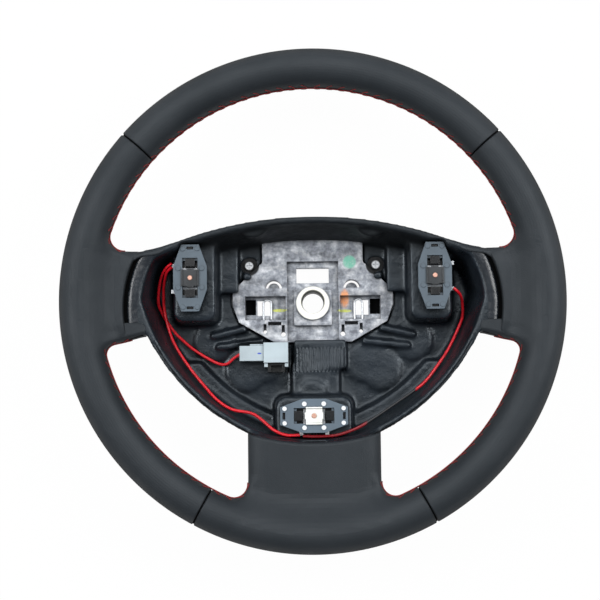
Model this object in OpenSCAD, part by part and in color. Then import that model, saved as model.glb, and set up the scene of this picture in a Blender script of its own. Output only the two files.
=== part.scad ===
// Car steering wheel, three-spoke, shown without its airbag module. Millimetres.
// The origin is the centre of the column bore at its rear mouth. +Z is the steering
// axis towards the driver and +Y is the twelve o'clock direction. The wheel lies on
// the rear edge of its hub skirt.

/* [Rim] */
// Outer diameter of the leather grip
rim_d = 370; // [360:1:385]
// Width of the grip, across the rim
grip_w = 28.8; // [26:0.2:31]
// Height of the grip, along the steering axis
grip_h = 33; // [31.5:0.5:36]
// Height of the rim's centre plane over the bore's rear mouth
rim_z = 52; // [50:0.5:56]
// Thickness of the leather
leather_t = 1.3; // [1:0.1:1.6]
// Width of the groove where two pieces of leather meet
seam_w = 1.6; // [1:0.1:2.4]
// Angle of the upper seams from twelve o'clock
seam_top = 48.5; // [42:0.5:52]
// Angle of the lower seams from six o'clock
seam_low = 28.5; // [27:0.5:34]
// Distance from one stitch to the next along the inner seam
stitch_pitch = 8.9; // [7:0.1:12]
// Diameter of the sewing thread
thread_d = 1; // [0.8:0.1:1.2]
// Clearance between a thread or a cord and what it lies on
soft_gap = 0.35; // [0.3:0.05:0.5]

/* [Spokes] */
// Height of the side spokes' upper edge above the wheel's centre
side_top = 36.8; // [34:0.2:38]
// Depth of the side spokes' lower edge below the centre, at the hub
side_low = 26; // [24:0.5:28]
// Width of the glossy flange between the bowl's corner and the side leather
flange_w = 15.25; // [14.75:0.25:17]
// Width of the bottom spoke over the leather
low_spoke_w = 96.8; // [90:0.2:100]
// Half thickness of the spokes at the hub, over the leather
spoke_half_t = 10.1; // [9:0.1:11]
// Drop of the spokes' centre plane from the rim to the hub
spoke_dip = 7; // [5:0.5:8]

/* [Hub shell] */
// Height of the hub's upper edge above the wheel's centre
hub_top = 61.8; // [60:0.2:63]
// Radius of the hub's upper edge, seen from the front
hub_top_r = 292; // [286:1:300]
// Radius of the curve from the hub's upper edge into the side spokes
hub_blend = 90; // [85:1:95]
// Radius of the hub's two lower edges, seen from the front
hub_low_r = 152; // [151:0.5:153]
// Width of the lower lip that the bottom spoke's leather covers, from the bowl's edge
low_cover_w = 5.8; // [5:0.1:6.5]
// Height of the upper lip
lip_z = 50; // [49:0.5:51]
// Height of the lower lips
low_lip_z = 44; // [43:0.5:45]
// Height of the bowl's floor
floor_z = 9; // [8.5:0.1:9.5]
// Thickness of the shell's walls
wall_t = 5.2; // [4.5:0.1:6]
// Depth of the rear skirt behind the bore's mouth
skirt_z = 8; // [7:0.5:10]
// Height of the three pedestals' tops
ped_z = 36; // [35:0.5:37]
// Radius of the pedestals' corners
ped_corner = 8; // [5:0.5:9]
// Height of the discs on the bowl's floor
disc_t = 2; // [1.5:0.1:2.5]
// Height of the ledge under the leads, over the bowl's floor
ledge_h = 8; // [7:0.2:8.6]

/* [Metal skeleton] */
// Radius of the column bore
bore_r = 8; // [7:0.1:8.5]
// Length of the column bore
bore_len = 14; // [13.5:0.1:15]
// Outer radius of the boss ring
boss_r = 12.8; // [12:0.1:13.5]
// Height of the hub plate's front face
plate_z = 12; // [11.5:0.1:12.5]
// Depth of the hub plate, with the ribs behind it
plate_t = 10; // [9:0.1:10.5]

/* [Horn contacts] */
// Distance of the side units from the centre, to the side
unit_x = 90.2; // [89:0.1:91]
// Height of the side units above the centre
unit_y = 17.1; // [16:0.1:18]
// Distance of the bottom unit from the bowl's lower edge
unit_in = 19.7; // [19:0.1:20.5]
// Length of a contact plate
cp_len = 49.5; // [48:0.1:50.5]
// Width of a contact plate
cp_w = 24.8; // [24:0.1:25.4]
// Thickness of a contact plate
cp_t = 3; // [2.8:0.1:3.2]
// Length of the springs under a contact plate at rest
spring_len = 4; // [3.6:0.1:4.4]

/* [Leads] */
// Diameter of the horn leads
lead_d = 2.2; // [1.8:0.1:2.4]

/* [Hidden] */
$fn = 96;

leather_colour = [0.09, 0.09, 0.095];
foam_colour = [0.13, 0.135, 0.145];
magnesium_colour = [0.68, 0.67, 0.66];
thread_colour = [0.62, 0.1, 0.08];
grey_colour = [0.55, 0.57, 0.62];
black_colour = [0.04, 0.04, 0.045];
tin_colour = [0.82, 0.82, 0.8];
steel_colour = [0.6, 0.6, 0.62];
copper_colour = [0.83, 0.5, 0.36];
connector_colour = [0.74, 0.8, 0.83];
lead_colour = [0.75, 0.07, 0.08];

grip_a = grip_w / 2;
grip_flat = (grip_h - grip_w) / 2;
rim_r = rim_d / 2 - grip_a;
open_r = rim_d / 2 - grip_w;
eps = 0.01;

// Centre of the right one of the two round lower walls. The left one mirrors it.
low_c = [16.4, 37.4];
// The bowl's corner, where the glossy flange begins, and the leather's end past it
side_end = sqrt(pow(hub_low_r, 2) - pow(low_c[1] + side_low, 2)) - low_c[0] + flange_w;
// The side spokes' leather ends in an arc round the bowl's side wall
side_c = [53.4, -5];
side_arc = side_end + 1.5 - side_c[0];
foam_arc = side_arc - 2;
// The arc in which the bottom spoke's leather ends, and the bowl's lower edge
low_leather_y = 53;
low_leather_r = hub_low_r + low_cover_w;
bowl_low = low_leather_r - low_leather_y;
unit_low = bowl_low - unit_in;

// Smooth step from 0 to 1
function ss(x) = let (t = min(max(x, 0), 1)) t * t * (3 - 2 * t);
// Quarter round of radius a, at distance d from an edge
function nose(d, a) = let (q = 1 - min(max(d, 0), a) / a) sqrt(max(0, 1 - q * q));

// The edge of a spoke is [u, v, slope, fillet radius], with u outward along the spoke
// and v across it. Its fillet ends on the rim's inner circle.
side_upper = [124, side_top, 0, 10];
side_lower = [124, side_low, 14, 8];
low_edge = [100, low_spoke_w / 2, 0, 10];

// Centre of the fillet between a spoke's edge and the rim
function fillet_centre(ed) =
    let (along = [cos(ed[2]), sin(ed[2])], out = [-sin(ed[2]), cos(ed[2])],
         q = [ed[0], ed[1]] + out * ed[3], b = q * along,
         c = q * q - pow(open_r - ed[3], 2))
    q + along * (-b + sqrt(b * b - c));

// Distance of a point from the edge of the opening above it, for a surface that lies
// the depth e inside the leather's outer face
function edge_gap(p, ed, e) =
    let (c = fillet_centre(ed), along = [cos(ed[2]), sin(ed[2])],
         out = [-sin(ed[2]), cos(ed[2])])
    cross(c, p) > 0 ? norm(p) - open_r - e
    : (p - c) * along < 0 ? ([ed[0], ed[1]] - p) * out - e
    : norm(p - c) - ed[3] - e;

function ray_angle(ed) = let (c = fillet_centre(ed)) atan2(c[1], c[0]);
function ray_width(ed, e) = asin((ed[3] + e) / (open_r - ed[3]));

// Distance along the ray at angle t to the circle of radius r round side_c
function arc_reach(t, r) =
    let (b = [cos(t), sin(t)] * side_c) b + sqrt(b * b - side_c * side_c + r * r);

// How far the rim's inner side reaches towards the hub, along the ray at angle t. The
// root ends in a straight line at end_u, or in an arc where end_u is negative.
function reach_in(t, up, lo, end_u, e) =
    let (ed = t >= 0 ? up : lo, a = abs(t), c = fillet_centre(ed),
         b = [cos(a), sin(a)] * c)
    a >= ray_angle(ed) ? open_r + e
    : a > ray_angle(ed) - ray_width(ed, e)
        ? b + sqrt(max(0, b * b - c * c + pow(ed[3] + e, 2)))
    : end_u < 0 ? arc_reach(t, -end_u) : end_u / cos(a);

// Share of the spoke's form in the rim's section, along the ray at angle t
function spoke_share(t, up, lo) =
    let (ed = t >= 0 ? up : lo, a = abs(t), full = ray_angle(ed) - 7)
    ss((ray_angle(ed) - a) / (ray_angle(ed) - full));

blend_r = 142.5;
function spoke_w(p, up, lo) =
    ss((rim_r - norm(p)) / (rim_r - blend_r)) * spoke_share(atan2(p[1], p[0]), up, lo);

// Half height of the rim or spoke over the plan point p
function half_height(p, up, lo, e) =
    let (a = grip_a - e, r = norm(p), w = spoke_w(p, up, lo),
         top = a - (a - (spoke_half_t - grip_flat - e)) * w,
         gap = min(edge_gap(p, up, e), edge_gap([p[0], -p[1]], lo, e)),
         rise = r > rim_r ? nose(rim_d / 2 - e - r, a) : nose(gap, a))
    grip_flat + top * rise;

// Rays on which the sections of a spoke's root are drawn, from below to above it, out
// to the angles to_lo and to_up on the plain rim
fine_steps = [0, 0.3, 0.6, 0.85, 0.99];
fine_past = [0.4, 1.2, 2.5, 4.2, 6.4];
coarse_steps = [0, 0.5, 0.95];
coarse_past = [0.6, 2.8, 6.4];
ray_gap = 6.6;
function side_rays(ed, e, steps, past, to) =
    let (a = ray_angle(ed), w = ray_width(ed, e), m = ceil((to - a) / ray_gap))
    concat([for (i = [0:m - 1]) to + (a - to) * i / m],
           [for (s = steps) a - s * w], [for (s = past) a - w - s]);
function rays(up, lo, e, fine, to_up, to_lo) =
    let (steps = fine ? fine_steps : coarse_steps, past = fine ? fine_past : coarse_past,
         above = side_rays(up, e, steps, past, to_up),
         below = side_rays(lo, e, steps, past, to_lo),
         ta = above[len(above) - 1], tb = -below[len(below) - 1], n = ceil((ta - tb) / 5))
    concat([for (i = [0:len(below) - 1]) -below[i]],
           [for (i = [1:n - 1]) tb + (ta - tb) * i / n],
           [for (i = [len(above) - 1:-1:0]) above[i]]);

// Section of the rim along the ray at angle t, for a spoke that points along +X: a
// closed loop, out along the front, then back along the rear
function section(t, up, lo, end_u, e, n) =
    let (out_r = rim_d / 2 - e, in_r = reach_in(t, up, lo, end_u, e))
    [for (k = [0:2 * n + 1])
        let (front = k <= n, i = front ? k : 2 * n + 1 - k,
             r = out_r + (in_r - out_r) * (1 - cos(180 * i / n)) / 2,
             p = [r * cos(t), r * sin(t)],
             mid = rim_z - spoke_dip * spoke_w(p, up, lo),
             h = half_height(p, up, lo, e))
        [p[0], p[1], front ? mid + h : mid - h]];

// Solid through a row of sections, closed into a ring or capped at both ends
module skin(sections, ring_shaped = false) {
    m = len(sections);
    n = len(sections[0]);
    last = ring_shaped ? m - 1 : m - 2;
    points = [for (s = sections) for (p = s) p];
    sides = [for (j = [0:last]) for (k = [0:n - 1])
        let (j2 = (j + 1) % m, k2 = (k + 1) % n)
        for (f = [[j * n + k, j * n + k2, j2 * n + k], [j * n + k2, j2 * n + k2, j2 * n + k]]) f];
    caps = ring_shaped ? []
        : [[for (k = [n - 1:-1:0]) k], [for (k = [0:n - 1]) (m - 1) * n + k]];
    polyhedron(points, concat(sides, caps), convexity = 6);
}

function root_sections(up, lo, end_u, e, fine, to_up, to_lo) =
    [for (t = rays(up, lo, e, fine, to_up, to_lo))
        section(t, up, lo, end_u, e, fine ? fine_n : coarse_n)];
fine_n = 10;
coarse_n = 8;

// Section of the grip, the depth e inside the leather's outer face
module grip_section(e) {
    translate([rim_r, rim_z])
        union() {
            translate([0, grip_flat]) circle(grip_a - e);
            translate([0, -grip_flat]) circle(grip_a - e);
            translate([-(grip_a - e), -grip_flat]) square([2 * (grip_a - e), 2 * grip_flat]);
        }
}

// Plain stretch of the rim between two angles
module rim_arc(a0, a1, e) {
    rotate([0, 0, a0]) rotate_extrude(angle = a1 - a0, $fn = 180) grip_section(e);
}

// Angles of the rim at which the spokes' roots begin and end, seen from the front
right_hi = ray_angle(side_upper) + 1;
right_lo = -ray_angle(side_lower) - 1;
half_seam = seam_w / 2 / rim_r * 180 / PI;
top_a = 90 - seam_top;
low_a = 90 - seam_low;

function side_sections(e, end_u, fine, short = 0) =
    root_sections(side_upper, side_lower, end_u, e, fine, top_a - short, low_a - short);
function low_sections(e, fine, short = 0) =
    root_sections(low_edge, low_edge, low_root_u, e, fine, seam_low - short, seam_low - short);
function mirrored(s) = [for (p = s) [-p[0], p[1], p[2]]];
function turned(s) = [for (p = s) [p[1], -p[0], p[2]]];

// The bottom spoke's parallel stretch starts where its fillets end
low_root_u = fillet_centre(low_edge)[0];
function low_section(e) =
    let (a = grip_a - e, half = low_spoke_w / 2 - e, t = spoke_half_t - grip_flat - e, n = 6)
    concat(
        [for (i = [0:n]) let (d = a * (1 - cos(90 * i / n))) [half - d, grip_flat + t * nose(d, a)]],
        [for (i = [n:-1:0]) let (d = a * (1 - cos(90 * i / n))) [-half + d, grip_flat + t * nose(d, a)]],
        [for (i = [0:n]) let (d = a * (1 - cos(90 * i / n))) [-half + d, -grip_flat - t * nose(d, a)]],
        [for (i = [n:-1:0]) let (d = a * (1 - cos(90 * i / n))) [half - d, -grip_flat - t * nose(d, a)]]);
module low_spoke(e, y_end) {
    translate([0, -y_end, rim_z - spoke_dip]) rotate([90, 0, 0])
        linear_extrude(low_root_u - y_end) polygon(low_section(e));
}

// Leather covers

module leather_top() {
    color(leather_colour)
        difference() {
            rim_arc(top_a + half_seam, 180 - top_a - half_seam, 0);
            rim_arc(top_a - 1, 181 - top_a, leather_t);
        }
}

module leather_side() {
    difference() {
        skin(side_sections(0, -side_arc, true, half_seam));
        skin(side_sections(leather_t, 1.4 - side_arc, false));
    }
}
module leather_right() { color(leather_colour) leather_side(); }
module leather_left() { color(leather_colour) mirror([1, 0, 0]) leather_side(); }

module leather_bottom() {
    color(leather_colour)
        difference() {
            union() {
                skin([for (s = low_sections(0, true, half_seam)) turned(s)]);
                low_spoke(0, 92);
            }
            union() {
                skin([for (s = low_sections(leather_t, false)) turned(s)]);
                low_spoke(leather_t, 91);
            }
            translate([0, low_leather_y, 0]) cylinder(r = low_leather_r, h = 100);
            intersection() {
                low_walls(hub_low_r + 0.2, 20, 0.3);
                translate([-100, -130, 0]) cube([200, 60, rim_z - spoke_dip]);
            }
        }
}

// Core of the rim and of the spokes' roots. The real core and the hub shell are one
// moulding; here they are told apart at the seams and at the ends of the spokes.
module foam_core_top() {
    color(foam_colour)
        difference() {
            rim_arc(top_a, 180 - top_a, leather_t);
            skeleton_outline();
        }
}
module core_side() {
    difference() {
        skin(side_sections(leather_t, 1.4 - side_arc, false));
        skeleton_outline();
    }
}
module foam_core_right() { color(foam_colour) core_side(); }
module foam_core_left() { color(foam_colour) mirror([1, 0, 0]) core_side(); }
module foam_core_bottom() {
    color(foam_colour)
        difference() {
            skin([for (s = low_sections(leather_t, false)) turned(s)]);
            skeleton_outline();
        }
}

// Hub shell

draft = 0.235;
shell_low = -1;

// Drafted round wall: a cone that narrows towards the back
module round_wall(c, r, low, d = draft) {
    h = lip_z - low;
    translate([c[0], c[1], low]) cylinder(h = h, r1 = r - d * h, r2 = r);
}

side_r = 72.5;

// The two round lower walls together, down to the depth low
module low_walls(r, low, d) {
    intersection() {
        round_wall([low_c[0], low_c[1]], r, low, d);
        round_wall([-low_c[0], low_c[1]], r, low, d);
    }
}

module shell_hull() {
    difference() {
        intersection() {
            round_wall([0, hub_top - hub_top_r], hub_top_r, shell_low);
            low_walls(hub_low_r, shell_low, 0.3);
        }
        // Over the bottom spoke's leather the shell ends in an arc
        difference() {
            translate([-100, -130, rim_z - spoke_dip]) cube([200, 50, 20]);
            translate([0, low_leather_y, 0]) cylinder(h = 90, r = low_leather_r - 0.5);
        }
        translate([0, -25, lip_z]) rotate([atan((lip_z - low_lip_z) / 70), 0, 0])
            translate([-200, -200, 0]) cube([400, 200, 30]);
    }
}

// Flanges that carry the hub's upper edge out to the side spokes. Their upper edge
// blends the hub's round edge into the spoke's straight one.
blend_x = sqrt(pow(hub_top_r + hub_blend, 2)
    - pow(side_top + hub_blend - hub_top + hub_top_r, 2));
blend_share = hub_top_r / (hub_top_r + hub_blend);
module flange_outline(e) {
    slope = tan(side_lower[2]);
    low = side_low + slope * (side_end + 2 - side_lower[0]);
    meet_y = hub_top - hub_top_r + (side_top + hub_blend - hub_top + hub_top_r) * blend_share;
    difference() {
        polygon([[84, meet_y - e], [blend_x * blend_share, meet_y - e], [side_end + 2, side_top],
            [side_end + 2, -low + 1.5 + e], [side_end - 15, -side_low + 1.5 + e],
            [side_end - 25, -20 + e]]);
        translate([blend_x, side_top + hub_blend]) circle(hub_blend + e, $fn = 240);
    }
}
module side_flange() {
    translate([0, 0, lip_z - 10]) linear_extrude(9) flange_outline(0);
    translate([0, 0, lip_z - 12]) linear_extrude(12) flange_outline(1.3);
    // Rib that holds the skeleton's arm
    translate([0, 15, 0]) rotate([90, 0, 0])
        linear_extrude(30)
            polygon([[side_end - 37, shell_low], [side_end - 14, shell_low],
                [side_end - 5, 20], [side_end - 1, 42], [side_end - 37, 42]]);
}
// Dark groove between the glossy ring round the bowl and the spoke's leather
module flange_groove() {
    intersection() {
        translate([side_c[0], side_c[1], lip_z - 4])
            difference() {
                cylinder(r = side_arc + 4, h = 20);
                translate([0, 0, -1]) cylinder(r = side_r + 8, h = 22);
            }
        translate([100, -27, 0]) cube([60, 60, 90]);
    }
}

module cavity() {
    intersection() {
        round_wall([0, hub_top - hub_top_r], hub_top_r - wall_t, floor_z);
        round_wall([low_c[0], low_c[1]], hub_low_r - wall_t, floor_z);
        round_wall([-low_c[0], low_c[1]], hub_low_r - wall_t, floor_z);
        round_wall([0, low_leather_y], low_leather_r - 1.8, floor_z, 0.1);
        union() {
            round_wall([side_c[0], side_c[1]], side_r, floor_z, 0.18);
            round_wall([-side_c[0], side_c[1]], side_r, floor_z, 0.18);
            translate([-side_c[0], -130, floor_z]) cube([2 * side_c[0], 220, lip_z - floor_z]);
            translate([-128, -130, floor_z]) cube([256, 130 + side_c[1], lip_z - floor_z]);
        }
    }
}

module both() { children(); mirror([1, 0, 0]) children(); }

// Pedestal of a contact unit, with draft
module pedestal(w, l) {
    linear_extrude(ped_z, scale = [1 - 5 / w, 1 - 6 / l], slices = 1)
        offset(ped_corner, $fn = 40) square([w - 2 * ped_corner, l - 2 * ped_corner], center = true);
}
// Rib with a round end, from one point on the floor to another
module floor_rib(a, b, w, h) {
    translate([a[0], a[1], 0]) rotate([0, 0, atan2(b[1] - a[1], b[0] - a[0])]) {
        translate([0, -w / 2, 0]) cube([norm(b - a), w, h]);
        translate([norm(b - a), 0, 0]) cylinder(h = h, r = w / 2);
    }
}

// Everything that stands on the bowl's floor
module raised() {
    both() {
        translate([unit_x - 2.6, unit_y + 3, 0]) pedestal(35.8, 75);
        // Bosses between the metal plate and the shoulders
        translate([49.3, 20.5, 0]) cylinder(h = 14.5, r1 = 5.4, r2 = 3.4);
        translate([44.5, 60, 0]) cylinder(h = 44, r = 13.5);
        translate([56, 8, 0]) cube([20, 40, 16]);
        translate([75.3, -28.4, 0]) cylinder(h = floor_z + disc_t, r = 14.4);
        translate([51, -50.4, 0]) cylinder(h = floor_z + disc_t, r = 15);
        translate([38, -45, 0]) cylinder(h = floor_z + disc_t, r = 14);
        floor_rib([50.4, -18.8], [75.1, -24.4], 4.6, 14.5);
        floor_rib([36.7, -28.6], [71, -32.7], 4.6, 14);
    }
    translate([0, -unit_low - 5, 0]) pedestal(61, 44);
    // Grooved spine with its two bars and the dome below
    difference() {
        translate([-14.5, -50, 0]) cube([39.6, 22, 16]);
        for (i = [-7:6]) translate([6.3 + i * 2.6 - 0.4, -46, 15.2]) cube([0.8, 14.5, 2]);
    }
    translate([-16.5, -70, 0]) cube([26.8, 24, 16]);
    translate([12.4, -70, 0]) cube([7.2, 24, 15]);
    translate([-1, -67.5, 0]) cylinder(h = 18, r = 9);
    // Ledge along the lower walls
    difference() {
        translate([-130, -120, 0]) cube([260, 76, floor_z + ledge_h]);
        low_walls(hub_low_r - wall_t - 9, -1, draft);
    }
}

// Outline of a contact unit's plate, in its own axes
module unit_outline(grow) {
    l = cp_len / 2 + grow;
    w = cp_w / 2 + grow;
    polygon([[l, 6.5 + grow / 3], [8.5, w], [-8.5, w], [-l, 6.5 + grow / 3],
        [-l, -6.5 - grow / 3], [-8.5, -w], [8.5, -w], [l, -6.5 - grow / 3]]);
}
module at_left() { translate([-unit_x, unit_y, 0]) rotate([0, 0, -90]) children(); }
module at_right() { translate([unit_x, unit_y, 0]) rotate([0, 0, 90]) children(); }
module at_bottom() { translate([0, -unit_low, 0]) children(); }

module foam_body() {
    color(foam_colour)
        difference() {
            union() {
                shell_hull();
                both() side_flange();
                low_spoke(leather_t, 91);
                translate([-60, -43, -skirt_z]) cube([120, 86, skirt_z + 4]);
            }
            difference() { cavity(); raised(); }
            at_left() translate([0, 0, ped_z]) linear_extrude(20) unit_outline(1.2);
            at_right() translate([0, 0, ped_z]) linear_extrude(20) unit_outline(1.2);
            intersection() {
                translate([0, low_leather_y, low_lip_z + 0.5])
                    cylinder(h = 30, r = low_leather_r - 0.5);
                translate([-60, -120, 0]) cube([120, 50, 80]);
            }
            // Open back of the hub, with a pad behind each outer window of the plate
            difference() {
                translate([-55, -38, -skirt_z - 1]) cube([110, 76, skirt_z + 3]);
                both() translate([42.8, -10, -3]) cube([20, 15, 6]);
            }
            skeleton_outline();
            both() translate([47.9, 28.9, 5]) cylinder(h = 30, r = 5.6);
            both() flange_groove();
            // Room for the connector
            translate([-57, -54, floor_z + disc_t]) cube([40, 24.5, 20]);
            both() difference() {
                translate([100, -45, shell_low - 1]) cube([60, 105, 60]);
                translate([side_c[0], side_c[1], -5]) cylinder(h = 70, r = foam_arc);
            }
        }
}

// Metal skeleton

plate_back = plate_z - plate_t;

module skeleton_outline() {
    translate([0, 0, plate_back]) linear_extrude(plate_z - plate_back)
        polygon([[38, 48], [38, 31], [60.5, 10], [60.5, -1], [56, -14], [29, -29.4],
            [-29, -29.4], [-56, -14], [-60.5, -1], [-60.5, 10], [-38, 31], [-38, 48]]);
    both() {
        translate([50, -8, plate_back]) cube([side_end - 63, 16, 5.5]);
        translate([0, 8, 0]) rotate([90, 0, 0])
            linear_extrude(16) polygon([[side_end - 19, plate_back],
                [side_end - 12.5, plate_back], [side_end - 4, rim_z - 11],
                [rim_r - 7.6, rim_z - 7], [rim_r - 4.6, rim_z - 2],
                [side_end - 10, rim_z - 4]]);
        translate([47.9, 28.9, plate_back]) cylinder(h = 6, r = 7.5);
        translate([40, 20, plate_back]) cube([8, 8, 6]);
    }
    translate([-10, 0, 0]) rotate([90, 0, 90])
        linear_extrude(20) polygon([[-28, plate_back], [-bowl_low + 22.8, plate_back],
            [-bowl_low + 3.3, 24], [-bowl_low - 2.8, rim_z - 14],
            [-bowl_low - 4.2, rim_z - 10.5], [-rim_r + 7.6, rim_z - 7],
            [-rim_r + 4.6, rim_z - 2], [-bowl_low - 7.2, rim_z - 3.5],
            [-bowl_low, rim_z - 3.5], [-bowl_low + 0.2, rim_z - 14],
            [-bowl_low + 7.3, 26], [-bowl_low + 24.8, 7.5], [-28, 7.5]]);
    translate([0, 0, rim_z]) rotate_extrude($fn = 180) translate([rim_r, 0]) circle(5.5);
}

module armature() {
    color(magnesium_colour)
        difference() {
            union() {
                skeleton_outline();
                cylinder(r = boss_r, h = bore_len);
                translate([-14.2, -16.8, 1]) cube([28.4, 26.8, plate_z + 0.4 - 1]);
            }
            // Column bore
            translate([0, 0, -5]) cylinder(r = bore_r, h = 60);
            // Channel round the boss
            difference() {
                translate([-19.4, -28.4, 8]) cube([38.8, 60.1, 10]);
                translate([-14.2, -16.8, 0]) cube([28.4, 26.8, 30]);
                cylinder(r = boss_r, h = 30);
            }
            translate([-12.3, 15.5, -5]) cube([24.6, 11.4, 30]);
            both() {
                // Side pockets with their windows and slots
                translate([20.6, -12.4, 6]) cube([30.6, 18, 20]);
                translate([31, -8.8, -5]) cube([11.2, 11.4, 30]);
                translate([43.2, -8.2, -5]) cube([7.8, 11.6, 30]);
                translate([24, -16.5, 4]) cube([10, 2.6, 30]);
                // Round window, half filled by a lower tongue
                intersection() {
                    difference() {
                        translate([29.5, 11.5, -5]) cylinder(r = 6.2, h = 30);
                        translate([29.5, 11.5, -6]) cylinder(r = 4.4, h = 11);
                    }
                    translate([20, 11.5, -6]) cube([20, 10, 32]);
                }
                translate([21.4, -22.8, 6]) cube([2.3, 6.4, 20]);
                translate([22.5, -23.2, -5]) cylinder(r = 1.9, h = 30);
                translate([35.2, -20.8, 6]) cube([2.2, 5.4, 20]);
                translate([36.3, -21.2, -5]) cylinder(r = 1.5, h = 30);
                translate([47.9, 28.9, -5]) cylinder(r = 2.2, h = 30);
            }
        }
}

// Stitching

module one_stitch(a) {
    rotate([0, 0, a]) translate([open_r - thread_d / 2 - soft_gap, 0, rim_z])
        rotate([28, 0, 0]) cylinder(d = thread_d, h = 4.6, center = true, $fn = 8);
}
module stitching() {
    color(thread_colour) {
        step = stitch_pitch / open_r * 180 / PI;
        for (a = [right_hi + 1.5 : step : 178.5 - right_hi]) one_stitch(a);
        both() for (a = [-low_a - 3 : step : right_lo - 1]) one_stitch(a);
    }
}

// Hub fittings

module hub_screws() {
    color(steel_colour)
        both() translate([47.9, 28.9, 0]) difference() {
            union() {
                translate([0, 0, 8]) cylinder(r = 3.3, h = 3);
                translate([0, 0, 0]) cylinder(r = 2.15, h = 8.5);
            }
            translate([-2.2, -0.4, 9.6]) cube([4.4, 0.8, 3]);
            translate([-0.4, -2.2, 9.6]) cube([0.8, 4.4, 3]);
        }
}

// Bent wire that holds the airbag module's hooks
module retaining_springs() {
    wire = 1.6;
    z = 6 + wire / 2;
    color(tin_colour)
        both() {
            translate([31.5, -12, z]) rotate([-90, 0, 0]) cylinder(d = wire, h = 12, $fn = 24);
            translate([34.5, 0, z]) rotate_extrude(angle = 180, $fn = 24)
                translate([3, 0]) circle(d = wire, $fn = 24);
            translate([37.5, -12, z]) rotate([-90, 0, 0]) cylinder(d = wire, h = 12, $fn = 24);
        }
}

// Horn contact units, each in its own axes: length along X, terminals towards -Y

hook_x = 8.6;
base_t = 2;
plate_low = ped_z + base_t + spring_len;
plate_top = plate_low + cp_t;
guide_x = 22.1;
spring_x = 18.3;

module carrier() {
    color(black_colour) {
        translate([0, 0, ped_z]) linear_extrude(base_t) unit_outline(-0.8);
        for (m = [0, 1]) mirror([m, 0, 0]) {
            // Snap hook in the plate's window
            translate([hook_x, -3.5, ped_z + 1]) cube([3.2, 7, spring_len + 4.2]);
            translate([hook_x + 1, -3.5, plate_low + 1.6]) cube([4.6, 7, 1.6]);
            // Guide rib in the plate's slot
            translate([guide_x - 0.7, -2, ped_z + 1]) cube([1.4, 4, spring_len + 3]);
            translate([spring_x, 0, ped_z + 1]) cylinder(r = 1.6, h = 2.4, $fn = 32);
        }
    }
}

module contact_strip() {
    color(tin_colour)
        for (m = [0, 1]) mirror([m, 0, 0])
            translate([0, 0, ped_z + base_t]) {
                translate([3, -11, 0]) cube([5, 16, 0.5]);
                translate([3, -11, 0]) cube([7.9, 2.4, 0.5]);
                translate([8.1, -14.4, 0]) cube([2.8, 5.6, 0.8]);
            }
}

module contact_plate() {
    color(grey_colour)
        difference() {
            union() {
                translate([0, 0, plate_low]) linear_extrude(cp_t) unit_outline(0);
                for (m = [0, 1], k = [0, 1]) mirror([m, 0, 0]) mirror([0, k, 0]) {
                    translate([7.1, 8.7, plate_low + 1]) cylinder(r = 1.8, h = cp_t - 0.6, $fn = 32);
                    translate([21.6, 5.3, plate_low + 1]) cylinder(r = 1.7, h = cp_t - 0.6, $fn = 32);
                }
            }
            for (m = [0, 1]) mirror([m, 0, 0]) {
                translate([6, -5.7, plate_low - 1]) cube([6.8, 11.4, 10]);
                translate([6, -5.7, plate_low + 1.5]) cube([8.8, 11.4, 10]);
                translate([guide_x - 1, -2.5, plate_low - 1]) cube([2, 5, 10]);
            }
            cylinder(r = 1.2, h = 60, $fn = 32);
        }
}

module contact_bridge() {
    color(tin_colour)
        difference() {
            union() {
                translate([-6, -6.4, plate_top]) cube([12, 12.8, 0.6]);
                translate([-6, -6.4, plate_top]) cube([12, 1, 1.3]);
                translate([-6, 5.4, plate_top]) cube([12, 1, 1.3]);
                for (m = [0, 1]) mirror([m, 0, 0]) {
                    translate([5.9, -2.5, plate_top]) cube([0.8, 5, 0.6]);
                    translate([6.1, -2.5, ped_z + 4.2]) cube([0.6, 5, plate_top - ped_z - 4]);
                }
            }
            cylinder(r = 1.2, h = 60, $fn = 32);
        }
}

module contact_rivet() {
    color(copper_colour) {
        translate([0, 0, plate_top + 0.6]) cylinder(r1 = 1.9, r2 = 1.5, h = 0.7, $fn = 32);
        translate([0, 0, plate_low - 0.5]) cylinder(r = 1.2, h = cp_t + 1.3, $fn = 32);
        translate([0, 0, plate_low - 0.6]) cylinder(r = 1.8, h = 0.6, $fn = 32);
    }
}

// Coil spring, ground flat: every ring of points lies inside its two end planes
coil_turns = 2.5;
coil_rings = 20;
module coil(x) {
    r = 2.2;
    w = 0.3;
    points = [for (i = [0:coil_rings]) let (t = i / coil_rings, a = 360 * coil_turns * t,
            z = ped_z + base_t + w + (spring_len - 2 * w) * t)
        for (k = [0:5]) let (b = 60 * k)
            [x + (r + w * cos(b)) * cos(a), (r + w * cos(b)) * sin(a), z + w * sin(b) * 1.1547]];
    n = coil_rings;
    faces = concat(
        [for (j = [0:n - 1]) for (k = [0:5]) let (k2 = (k + 1) % 6)
            [j * 6 + k, j * 6 + k2, (j + 1) * 6 + k]],
        [for (j = [0:n - 1]) for (k = [0:5]) let (k2 = (k + 1) % 6)
            [j * 6 + k2, (j + 1) * 6 + k2, (j + 1) * 6 + k]],
        [[for (k = [5:-1:0]) k]], [[for (k = [0:5]) n * 6 + k]]);
    polyhedron(points, faces, convexity = 6);
}
module contact_springs() {
    color(steel_colour) {
        coil(spring_x);
        coil(-spring_x);
    }
}

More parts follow.
